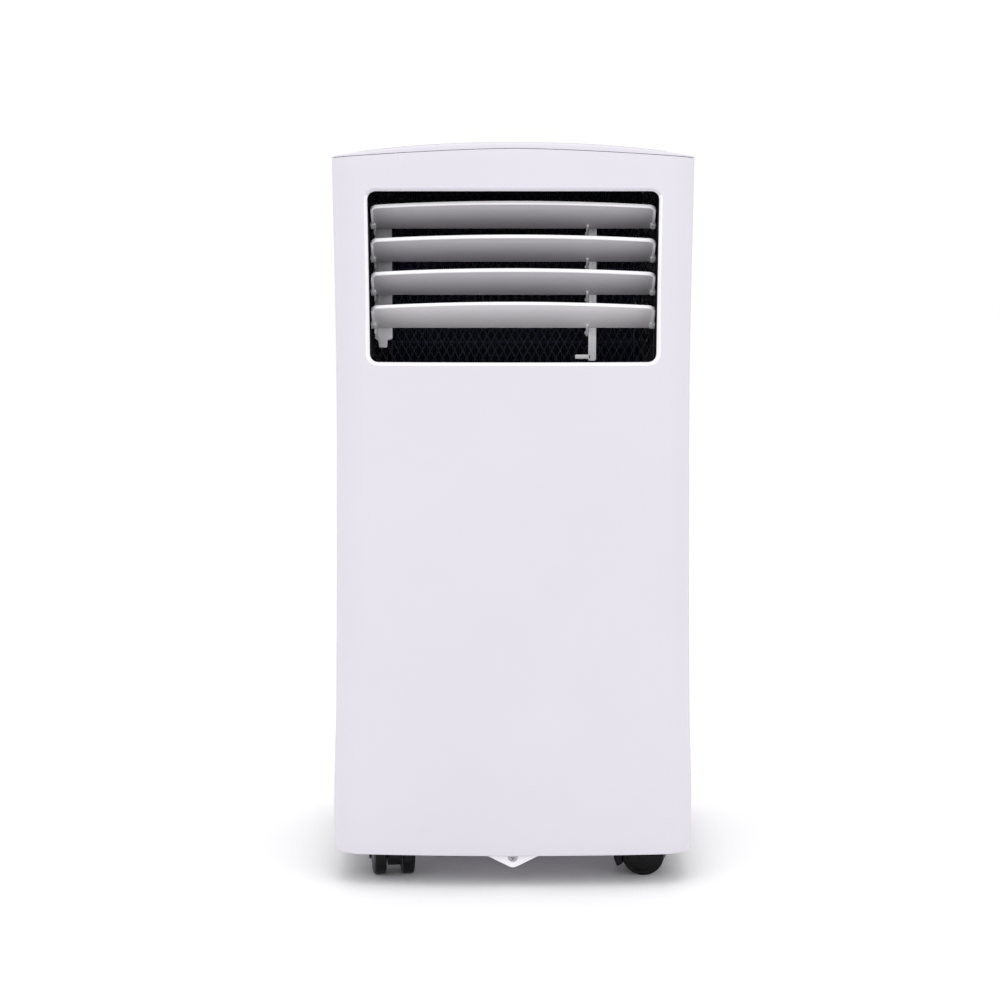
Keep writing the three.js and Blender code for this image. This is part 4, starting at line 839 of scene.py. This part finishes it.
CHORD, BOW, L_END = 34.0, 7.0, 135.4
def l_front(x): return -(CHORD + BOW * (1 - (x / L_END) ** 2))
def l_outline(e, r, back=4.0, n=28):
    w = L_END - e
    pts = [(-w, back), (w, back)]
    yc = l_front(w) + e + r
    for i in range(9):
        a = rad(0 - 90 * i / 8); pts.append((w - r + r * math.cos(a), yc + r * math.sin(a) + (l_front(w - r) - l_front(w)) * (i / 8)))
    for i in range(1, n): x = (w - r) * (1 - 2 * i / n); pts.append((x, l_front(x) + e))
    for i in range(9):
        a = rad(-90 - 90 * i / 8); pts.append((-w + r + r * math.cos(a), yc + r * math.sin(a) + (l_front(w - r) - l_front(w)) * (1 - i / 8)))
    return pts
def make_blade(i):
    # painted shade on the upper three blades, painted light on the lowest
    face_mat = M['louver_painted_lit' if i == 3 else 'louver']
    face = plate("face", list(reversed(l_outline(0.9, 6.4))), -1.2, 0.8, 'z', 0.35, 2)
    outer_, inner_ = l_outline(0.0, 7.0, -3.0)[1:], l_outline(2.2, 5.2, -3.0)[1:]
    outer_.append((-L_END, -3.0)); inner_.append((-L_END + 2.2, -3.0))
    rim = plate("rim", outer_ + list(reversed(inner_)), -2.5, 0.9, 'z', 0.55, 3)
    face.data.materials.clear(); face.data.materials.append(face_mat)
    # painted light: the lip takes the brighter rim white
    rim.data.materials.clear(); rim.data.materials.append(M['rim'])
    rod = lathe(rounded([(0, -L_END + 2.2), (1.5, -L_END + 2.2), (1.5, L_END - 2.2), (0, L_END - 2.2)], [0, 0.4, 0.4, 0], 3), 20, 'x', (0, 0, 1.2), "rod")
    # the rod carries the blade's painted-shade grey
    rod.data.materials.append(M['louver'])
    bits = [rod, face]
    for s in (-1, 1):
        pin = lathe(rounded([(0, s * 131.8), (3.3, s * 131.8), (3.3, s * 136.2), (1.9, s * 136.6), (1.9, s * 139.8), (0, s * 139.8)], [0, 0.5, 0.5, 0.2, 0.5, 0], 3), 28, 'x', (0, 0, 0), "pin")
        pin.data.materials.append(M['link']); bits.append(pin)
        b = block("boss", (min(s * 131.4, s * 136.5), -5.6, -3.0), (max(s * 131.4, s * 136.5), 3.0, 1.0), 0.9, 3); b.data.materials.append(M['link']); bits.append(b)
    lug = plate("tail", rounded_closed([(-3.0, -3.0), (-3.0, 2.0), (12, 2.9), (18.4, 2.9), (18.4, -2.9), (12, -2.9)], [1, 1, 1, 2.6, 2.6, 1], 5), 70.3, 72.3, 'x', 0.35, 2, [[(15 + 1.75 * math.cos(2 * math.pi * k / 20), 1.75 * math.sin(2 * math.pi * k / 20)) for k in range(20)]])
    lug.data.materials.append(M['link']); bits.append(lug)
    for x in (-90, -45, 0, 45, 100):   # stiffening ribs across the back of the blade, in the blade's painted-shade grey
        b = block("rib", (x - 0.6, -CHORD + 4, 0.4), (x + 0.6, -1, 1.5), 0.35, 2); b.data.materials.append(M['louver']); bits.append(b)
    turn = Matrix.Rotation(rad(-TILT), 4, 'X')
    for b in bits + [rim]: b.data.transform(turn)
    crank = [block("web", (-133.6, 0.5, -1.2), (-116.6, 17.2, 1.2), 0.5, 2)]
    stepped = rounded_closed([(-133.6, 1.2), (-116.6, 1.2), (-116.6, -14.6), (-121.4, -15.8), (-121.8, -23.0), (-129.4, -23.0), (-130.6, -15.8), (-133.6, -14.2)], [0.4, 0.4, 1.2, 0.8, 1.4, 1.4, 0.8, 1.2], 4)
    crank.append(plate("hang", stepped, 14.8, 17.2, 'y', 0.5, 2))
    crank.append(block("gusset", (-133.4, 2, -9.0), (-131.8, 15.5, 0), 0.4, 2))
    crank.append(block("step", (-131.0, 14.2, -13.5), (-128.6, 15.4, -1.0), 0.4, 2))
    # the crank shares its blade's face colour, painted shade above and painted light on the lowest
    for b in crank: b.data.materials.clear(); b.data.materials.append(face_mat); bits.append(b)
    move = Matrix.Translation((0, PIV_Y * MM, (PIV_Z - PITCH * i) * MM))
    for b in bits + [rim]: b.data.transform(move)
    main = join(f"louver_{i + 1}_blade", bits)
    add(main, f"louver_{i + 1}", "louver_white", f"louver_{i + 1}")
    add(rim, f"louver_{i + 1}", "louver_white"); rim.name = f"louver_{i + 1}_lip"
for i in range(4): make_blade(i)

LINK_X, LINK_R = 76.7, 15.0
PIN_Y = PIV_Y + LINK_R * math.cos(rad(TILT)); PIN_DZ = -LINK_R * math.sin(rad(TILT))
z_top = PIV_Z + PIN_DZ
strip = rounded_closed([(LINK_X - 3.8, 494.3), (LINK_X + 3.8, 494.3), (LINK_X + 3.8, z_top + 6), (LINK_X - 3.8, z_top + 6)], [1.0, 2.6, 3.2, 3.2], 6)
link_parts = [plate("strip", strip, PIN_Y - 1.1, PIN_Y + 1.6, 'y', 0.4, 3)]
link_parts.append(block("flange", (LINK_X - 3.8, PIN_Y - 1.6, 495.0), (LINK_X - 1.2, PIN_Y + 1.2, z_top + 4.2), 0.5, 3))
link_parts.append(block("foot", (LINK_X - 16.6, PIN_Y - 1.6, 496.1), (LINK_X - 1.2, PIN_Y + 1.6, 500.5), 0.9, 3))
for i in range(4):
    z = z_top - PITCH * i
    link_parts.append(lathe(rounded([(0, LINK_X - 7.4), (1.4, LINK_X - 7.4), (1.4, LINK_X - 3), (0, LINK_X - 3)], [0, 0.4, 0, 0], 3), 20, 'x', (0, PIN_Y, z), "pin"))
    link_parts.append(lathe(rounded([(0, PIN_Y - 1.6), (2.4, PIN_Y - 1.6), (2.6, PIN_Y - 0.6), (0, PIN_Y - 0.6)], [0, 0.4, 0, 0], 3), 24, 'y', (LINK_X + 0.6, 0, z), "pad"))
# painted light: the flange and foot take the brighter rim white
for b in link_parts[1:3]: b.data.materials.clear(); b.data.materials.append(M['rim'])
for b in link_parts[:1] + link_parts[3:]: b.data.materials.clear(); b.data.materials.append(M['link'])
add(join("louver_link_strip", link_parts), "link_bar", "link_white", "louver_link_bar")

def bars(name, segs, r, sides=6):
    """Straight round wires between pairs of points, in one mesh."""
    V, F = [], []
    for p, q in segs:
        p, q = Vector(p), Vector(q); d = (q - p).normalized()
        a = d.orthogonal().normalized(); b = d.cross(a)
        rows = []
        for c in (p, q):
            rows.append(list(range(len(V), len(V) + sides)))
            for k in range(sides):
                t = 2 * math.pi * k / sides; V.append(tuple(c + a * r * math.cos(t) + b * r * math.sin(t)))
        for k in range(sides): F.append((rows[0][k], rows[1][k], rows[1][(k + 1) % sides], rows[0][(k + 1) % sides]))
        F.append(tuple(reversed(rows[0]))); F.append(tuple(rows[1]))
    return new_object(name, V, F, sharp=70)
gx0, gx1, gz0, gz1 = -139.5, 139.5, 480.5, 673.0
def clip(x_at, slope):
    """A slanting wire through (x_at, gz0) cut to the frame."""
    z_a, z_b = gz0, gz1
    xa, xb = x_at, x_at + slope * (gz1 - gz0)
    pts = []
    for x_, z_ in ((xa, z_a), (xb, z_b)):
        if x_ < gx0: z_ = gz0 + (gx0 - x_at) / slope; x_ = gx0
        if x_ > gx1: z_ = gz0 + (gx1 - x_at) / slope; x_ = gx1
        pts.append((x_, z_))
    (xa, za), (xb, zb) = pts
    return (xa, za, xb, zb) if zb - za > 2 and gz0 - 0.1 <= za and zb <= gz1 + 0.1 else None
slope, pitch_x = 0.535, 7.9
wires = []
n0 = int((gx1 - gx0 + slope * (gz1 - gz0)) / pitch_x) + 2
for k in range(n0):
    for sgn in (1, -1):
        xa = (gx0 - slope * (gz1 - gz0) + k * pitch_x) if sgn > 0 else (gx0 + k * pitch_x)
        c = clip(xa, slope * sgn)
        if c: wires.append(((c[0], -97.7 + 0.25 * sgn, c[1]), (c[2], -97.7 + 0.25 * sgn, c[3])))
guard = bars("guard_wires", wires, 0.42, 8)
frame_ring = plate("guard_frame", rrect(-142.4, 477.7, 142.4, 675.8, 6, 6), -98.4, -97.0, 'y', 0.4, 2, [rrect(-136.8, 483.3, 136.8, 670.2, 4, 6)])
add(join("outlet_guard_mesh", [guard, frame_ring]), ROOT, "guard_wire", "outlet_guard", mat=M['wire'])
def fin_block(name, x0, x1, y0, y1, z0, z1, pitch, mat, wave=0.35):
    V, F = [], []
    x, k = x0, 0
    nz = 4
    while x < x1:
        xs = (x - 0.11, x + 0.11); rows = []
        for j in range(nz + 1):
            z = z0 + (z1 - z0) * j / nz; off = wave * math.sin(j * 1.9 + k * 0.7) * 0.25
            rows.append([len(V) + q for q in range(4)])
            V += [(xs[0] + off, y0, z), (xs[1] + off, y0, z), (xs[1], y1, z), (xs[0], y1, z)]
        for a, b in zip(rows, rows[1:]):
            for q in range(4): F.append((a[q], a[(q + 1) % 4], b[(q + 1) % 4], b[q]))
        F.append(tuple(reversed(rows[0]))); F.append(tuple(rows[-1]))
        x += pitch; k += 1
    ob = new_object(name, V, F, sharp=20); ob.data.materials.append(mat)
    return ob
# the fins and end plates take the dark blue with its painted shade
evap = [fin_block("fins", -116.6, 116.8, -91.5, -52.5, 420.5, 663.5, 1.75, M['fin_blue'])]
for s in (-1, 1):
    e = block("end_plate", (min(s * 117.4, s * 119.2), -93, 418), (max(s * 117.4, s * 119.2), -50, 666), 0.5, 2); e.data.materials.append(M['fin_blue']); evap.append(e)
tubes = []
for row, y in enumerate((-81.0, -63.0)):
    for j in range(10):
        z = 438 + j * 24 + row * 6
        if z > 658: continue
        tubes.append(lathe([(0, -118.5), (3.5, -118.5), (3.5, 118.5), (0, 118.5)], 14, 'x', (0, y, z), "tube"))
    for j in range(5):
        z = 440 + j * 48 + (4 if row else 0)
        tubes.append(sweep("bend", [(118.5, y, z + 3), (123.0, y, z + 3), (124.4, y, z + 6), (124.4, y, z + 18), (123.0, y, z + 21), (118.5, y, z + 21)], 2.2, 12))
# the tubes take the fins' dark blue with its painted shade
for t in tubes: t.data.materials.clear(); t.data.materials.append(M['fin_blue'])
add(join("evaporator_core", evap + tubes), ROOT, "fin_blue", "evaporator_coil")

# ------------------------------------------------------------------ casters: swivel hood and twin wheel
TRAIL, WR = 11.5, 21.0
def fender_profile():
    """Side outline of the hood: outer arc from the trailing top round to the leading low edge, and back inside."""
    outer = []
    for i in range(41):
        t = rad(58 + (206 - 58) * i / 40)
        r = 24.2 + 5.0 * max(0.0, -math.cos(t)) ** 1.2
        outer.append((TRAIL + r * math.cos(t), WR + r * math.sin(t)))
    inner = []
    for i in range(41):
        t = rad(205 - (205 - 60) * i / 40)
        inner.append((TRAIL + 21.5 * math.cos(t), WR + 21.5 * math.sin(t)))
    return outer, inner
def hood(name):
    outer, inner = fender_profile()
    V, F, rings = [], [], []
    ys = []
    n = 10
    # across the width: full size in the middle, rounded down over the last 6 mm on each side
    for i in range(n + 1):
        ys.append(-21.4 + 4.0 * (1 - math.cos(rad(90 * i / n))))
    ys = [y for y in ys] + [-y for y in reversed(ys)]
    for y in ys:
        e = max(0.0, 4.0 - (21.4 - abs(y)))
        drop = 4.0 - math.sqrt(max(0.0, 16.0 - e * e))
        row = []
        cx, cz = TRAIL, WR
        for p in outer:
            d = math.hypot(p[0] - cx, p[1] - cz); room = d - 22.2
            f = (d - min(room, drop * 0.75)) / d
            row.append(len(V)); V.append((cx + (p[0] - cx) * f, y, cz + (p[1] - cz) * f))
        for p in inner: row.append(len(V)); V.append((p[0], y, p[1]))
        rings.append(row)
    m = len(rings[0])
    for a, b in zip(rings, rings[1:]):
        for i in range(m): F.append((a[i], b[i], b[(i + 1) % m], a[(i + 1) % m]))
    k = len(outer)
    for row, flip in ((rings[0], False), (rings[-1], True)):
        for i in range(k - 1):
            j = m - 1 - i
            q = (row[i], row[i + 1], row[j - 1], row[j])
            F.append(q if not flip else tuple(reversed(q)))
    shell_ = new_object("fender", V, F, sharp=42)
    web = plate("web", rounded_closed([(TRAIL + 15.5 * math.cos(rad(a)), WR + 15.5 * math.sin(rad(a))) for a in range(-40, 200, 12)] + [(-9, 25), (-9, 50), (9, 50), (10, 41)], 0.6, 2), -6.8, 6.8, 'y', 0.8, 3)
    boss = lathe(rounded([(0, 40), (8.5, 40), (8.5, 50.6 + LIFT), (7.4, 51.3 + LIFT), (4.9, 51.4 + LIFT), (4.9, 66 + LIFT), (0, 66 + LIFT)], [0, 0, 0.8, 0.5, 0.2, 0.8, 0], 4), 40, 'z', (0, 0, 0), "stem")
    ring = lathe(rounded([(5.0, 51.0 + LIFT), (7.2, 51.0 + LIFT), (7.2, 52.2 + LIFT), (5.0, 52.2 + LIFT)], 0.3, 2), 40, 'z', (0, 0, 0), "washer", closed=True)
    return join(name, [shell_, web, boss, ring])
def wheel(name):
    """Twin discs with a tread band, a shallow ring and a domed hub cap on each outer face."""
    half = [(3.6, 8.2), (19.2, 8.2), (20.6, 9.0), (21.0, 10.2), (21.0, 17.4), (20.5, 18.8), (19.4, 19.6), (18.0, 19.9), (17.3, 19.5), (16.6, 19.7), (14.5, 20.35), (10.0, 20.6), (6.6, 20.7), (6.0, 20.3), (5.2, 20.3), (4.4, 20.62), (0, 20.7)]
    prof = [(r, -h) for r, h in reversed(half)] + half
    prof = rounded(prof, 0.35, 2)
    return lathe(prof, 72, 'y', (TRAIL, 0, WR), name, sharp=38)
for name, cx, cy, a in CASTERS:
    place_ = Matrix.Translation((cx * MM, cy * MM, 0)) @ Matrix.Rotation(rad(a), 4, 'Z')
    h, w = hood(f"caster_{name}_hood"), wheel(f"caster_{name}_wheels")
    h.data.transform(place_); w.data.transform(place_)
    add(h, f"caster_{name}", "caster_black", f"caster_hood_{name}", mat=M['caster'])
    add(w, f"wheel_{name}", "caster_black", f"caster_wheel_{name}", mat=M['tread'])

# ------------------------------------------------------------------ rear: intake grilles, filters, exhaust, drains, gland
def grille(name, body, node, z0, z1):
    x0, x1, y0, y1 = -127.4, 127.4, 161.6, 165.4
    kx = 0.985
    x0, x1 = x0 * kx, x1 * kx
    bits = [plate("frame", rrect(x0, z0 + 0.6, x1, z1 - 0.6, 5.4, 8), y0, y1, 'y', 0.6, 3, [rrect(x0 + 7, z0 + 7.6, x1 - 7, z1 - 7.6, 3, 5)])]
    z = z0 + 11.5
    while z < z1 - 9:
        b = block("slat", (x0 + 6, -1.9, -0.8), (x1 - 6, 1.9, 0.8), 0.35, 2)
        b.data.transform(Matrix.Translation((0, (y0 + y1) / 2 * MM, z * MM)) @ Matrix.Rotation(rad(-24), 4, 'X')); bits.append(b)
        z += 5.2
    n = 7
    for i in range(1, n):
        x = x0 + (x1 - x0) * i / n
        bits.append(block("mullion", (x - 1.1, y0 + 0.1, z0 + 6), (x + 1.1, y1 - 0.8, z1 - 6), 0.4, 2))
    tab = plate("pull", rounded_closed([(-22, z1 - 12), (22, z1 - 12), (22, z1 - 6.4), (-22, z1 - 6.4)], [2, 2, 1, 1], 4), y0 + 0.5, 170.0, 'y', 0.8, 3, [])
    rec = [block("ridge", (-17, 169.4, z1 - 11.2 + k * 1.5), (17, 170.0, z1 - 10.5 + k * 1.5), 0.2, 2) for k in range(3)]
    bits += [tab] + rec
    add(join(name, bits), body, "vent_grey" if False else "cabinet_white", node, mat=M['cabinet_rear'])
grille("upper_intake_grille", "upper_intake", "upper_grille", 436, 654)
grille("lower_intake_grille", "lower_intake", "lower_grille", 104, 240)
def pad_filter(name, body, node, z0, z1):
    frame_ = plate("frame", rrect(-122, z0, 122, z1, 4, 5), 156.3, 159.6, 'y', 0.5, 2, [rrect(-117, z0 + 5, 117, z1 - 5, 2, 4)])
    # the frame and bars take the same near-black colour with painted shade
    frame_.data.materials.append(M['vent_black_painted_shade'])
    cloth = plate("cloth", rrect(-118, z0 + 4, 118, z1 - 4, 2, 4), 157.6, 158.3, 'y', 0.15, 1); cloth.data.materials.append(M['filter'])
    bits = [frame_, cloth]
    for x in (-60, 0, 60):
        b = block("bar", (x - 1.2, 156.5, z0 + 3), (x + 1.2, 159.4, z1 - 3), 0.4, 2); b.data.materials.append(M['vent_black_painted_shade']); bits.append(b)
    add(join(name, bits), body, "filter_mesh", node)
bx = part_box("upper_filter"); pad_filter("upper_filter_pad", "upper_intake", "upper_filter", bx[0][2] * 1000 - LIFT, bx[1][2] * 1000 - LIFT)
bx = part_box("lower_filter"); pad_filter("lower_filter_pad", "lower_intake", "lower_filter", bx[0][2] * 1000 - LIFT, bx[1][2] * 1000 - LIFT)
collar = rounded([(62, 156.5), (70.2, 156.5), (70.2, 165.4), (80, 165.4), (80, 168.4), (66, 168.4), (66, 177.5), (62, 177.5)], [0.5, 0.5, 0.3, 0.4, 1.2, 1.0, 0.8, 0.8], 4)
ex = [lathe(collar + [collar[0]], 120, 'y', (0, 0, 328), "collar", closed=False)]
for s in (-1, 1):
    ex.append(block("bayonet", (min(s * 65.2, s * 70.4), 172.6, 322), (max(s * 65.2, s * 70.4), 175.6, 334), 0.7, 3))
for a in range(0, 180, 30):   # finger guard across the bore
    c, s_ = math.cos(rad(a)), math.sin(rad(a))
ring_r = [20, 34, 48]
rr = []
for q in ring_r: rr.append(lathe(rounded([(q - 1.0, 158.2), (q + 1.0, 158.2), (q + 1.0, 160.6), (q - 1.0, 160.6)], 0.4, 2) + [(q - 1.0, 158.6)], 72, 'y', (0, 0, 328), "guard"))
for a in range(0, 360, 45):
    b = block("spoke", (6, 158.4, -1.0), (62.6, 160.4, 1.0), 0.4, 2)
    b.data.transform(Matrix.Translation((0, 0, 328 * MM)) @ Matrix.Rotation(rad(a + 22.5), 4, 'Y')); rr.append(b)
rr.append(lathe(rounded([(0, 158.0), (8, 158.0), (8, 160.8), (0, 160.8)], [0, 0.6, 0.6, 0], 3), 40, 'y', (0, 0, 328), "hub"))
for i, a in enumerate((45, 135, 225, 315)):
    c, s_ = math.cos(rad(a)), math.sin(rad(a))
    rr.append(screw("flange_screw", (75 * c, 168.2, 328 + 75 * s_), 2.6, 1.1, axis='+y'))
    rr[-1].data.materials.append(M['screw'])
ex_body = join("exhaust_collar", ex); ex_body.data.materials.clear(); ex_body.data.materials.append(M['cabinet_rear'])
for o in rr:
    if not len(o.data.materials): o.data.materials.append(M['vent'])
add(ex_body, ROOT, "cabinet_white", "exhaust_flange")
add(join("exhaust_guard", rr), ROOT, "vent_grey")
for name, x, z in (("drain_cap_upper", 128, 400), ("drain_cap_lower", 0, 76)):
    prof = rounded([(0, 154), (5.2, 154), (6.2, 156), (6.2, 165.2), (11, 165.4), (11, 169.5), (8.8, 170.2), (8.2, 174), (0, 174)], [0, 0.6, 0.5, 0.2, 0.8, 1.0, 0.4, 1.4, 0], 4)
    cap = [lathe(prof, 64, 'y', (x, 0, z), "cap")]
    for k in range(24):
        t = 2 * math.pi * k / 24
        b = block("knurl", (8.0, 170.4, -0.35), (8.75, 173.4, 0.35), 0.2, 1)
        b.data.transform(Matrix.Translation((x * MM, 0, z * MM)) @ Matrix.Rotation(t, 4, 'Y')); cap.append(b)
    add(join(name + "_plug", cap), name, "rubber_black", name, mat=M['rubber'])
g0, g1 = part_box("cord_gland")
gp = rounded([(2.9, g0[1] * 1000), (7.6, g0[1] * 1000), (7.6, 165.2), (11.0, 165.4), (11.0, 168.2), (7.2, 169.4), (6.2, g1[1] * 1000), (3.2, g1[1] * 1000)], [0.3, 0.5, 0.2, 0.8, 1.0, 1.0, 1.2, 0.6], 4)
gland = lathe([(min(r, (g1[0] - g0[0]) * 500), h) for r, h in gp] + [gp[0]], 48, 'y', (-128, 0, 258), "gland")
add(gland, ROOT, "rubber_black", "cord_gland", mat=M['rubber'])

# ------------------------------------------------------------------ finishes on the CAD nodes that stay
keep = {
    'swing_motor': 'steel', 'drain_tray': 'tray', 'upper_blower_housing': 'vent', 'lower_blower_housing': 'vent', 'exhaust_duct': 'vent',
    'upper_blower_wheel': 'blower', 'lower_blower_wheel': 'blower', 'slinger_wheel': 'blower', 'upper_blower_motor': 'steel', 'lower_blower_motor': 'steel',
    'slinger_motor': 'steel', 'compressor': 'compressor', 'accumulator': 'compressor', 'compressor_grommet_1': 'rubber', 'compressor_grommet_2': 'rubber',
    'compressor_grommet_3': 'rubber', 'electrical_box': 'steel', 'circuit_board': 'board', 'capacitor': 'fin_alu', 'discharge_pipe': 'copper', 'suction_pipe': 'copper',
}
M['tray'] = plastic("tray_grey", (0.42, 0.42, 0.45), rough=0.5, depth=0.00002)
c0, c1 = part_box("condenser_coil")
c0, c1 = [v * 1000 for v in c0], [v * 1000 for v in c1]
keep['condenser_coil'] = 'fin_alu'
for ob in bpy.data.objects:
    key = ob.name if ob.name in keep else ob.get("node", "")
    if key in keep and ob.type == 'MESH':
        if not ob.material_slots: ob.data.materials.append(M[keep[key]])
        for s in ob.material_slots: s.material = M[keep[key]]

# ------------------------------------------------------------------ floor, light, background
def floor_material():
    m, nt, bs = nodes_of("floor_pale")
    co = nt.nodes.new("ShaderNodeTexCoord").outputs["Object"]
    n = noise(nt, co, 3.0, 4, 0.5)
    link(nt, ramp(nt, n, [(0.3, (0.945, 0.945, 0.95)), (0.7, (0.965, 0.965, 0.97))]), bs.inputs["Base Color"])
    link(nt, remap(nt, noise(nt, co, 40.0, 3, 0.5), 0.3, 0.7, 0.55, 0.7), bs.inputs["Roughness"])
    bs.inputs["Specular IOR Level"].default_value = 0.25
    return m
def floor():
    """A wide pale floor in rings, plain and level."""
    V, F, n = [(0, 0, 0)], [], 48
    radii = [0.5, 1, 2, 4, 8, 14]
    for r in radii:
        for i in range(n): V.append((r * math.cos(2 * math.pi * i / n), r * math.sin(2 * math.pi * i / n), 0))
    for i in range(n): F.append((0, 1 + i, 1 + (i + 1) % n))
    for k in range(len(radii) - 1):
        for i in range(n):
            j = (i + 1) % n; a, b = 1 + k * n, 1 + (k + 1) * n
            F.append((a + i, b + i, b + j, a + j))
    ob = new_object("studio_floor", V, F, sharp=60, scale=1.0)
    ob.data.materials.append(floor_material())
    return ob
floor()
world = bpy.data.worlds.new("studio"); scene.world = world; world.use_nodes = True
world.node_tree.nodes["Background"].inputs[0].default_value = (1.0, 1.0, 1.0, 1)
world.node_tree.nodes["Background"].inputs[1].default_value = 1.06
def area(name, loc, look, size, power, color=(1, 1, 1), size_y=None):
    l = bpy.data.lights.new(name, 'AREA'); l.energy, l.color = power, color
    l.shape = 'RECTANGLE'; l.size = size; l.size_y = size_y or size
    o = bpy.data.objects.new(name, l); scene.collection.objects.link(o)
    o.location = loc; o.rotation_euler = (Vector(look) - Vector(loc)).to_track_quat('-Z', 'Y').to_euler()
    return o
area("key", (-1.6, -2.6, 2.2), (0, 0, 0.4), 1.8, 4)
area("fill", (2.0, -2.2, 1.5), (0, 0, 0.35), 1.8, 3)
area("top", (0.0, -0.9, 2.6), (0, 0, 0.4), 1.6, 9)
area("back", (0.0, 2.2, 1.8), (0, 0, 0.4), 2.0, 4)
scene.view_settings.view_transform = 'Standard'
scene.view_settings.look = 'None'
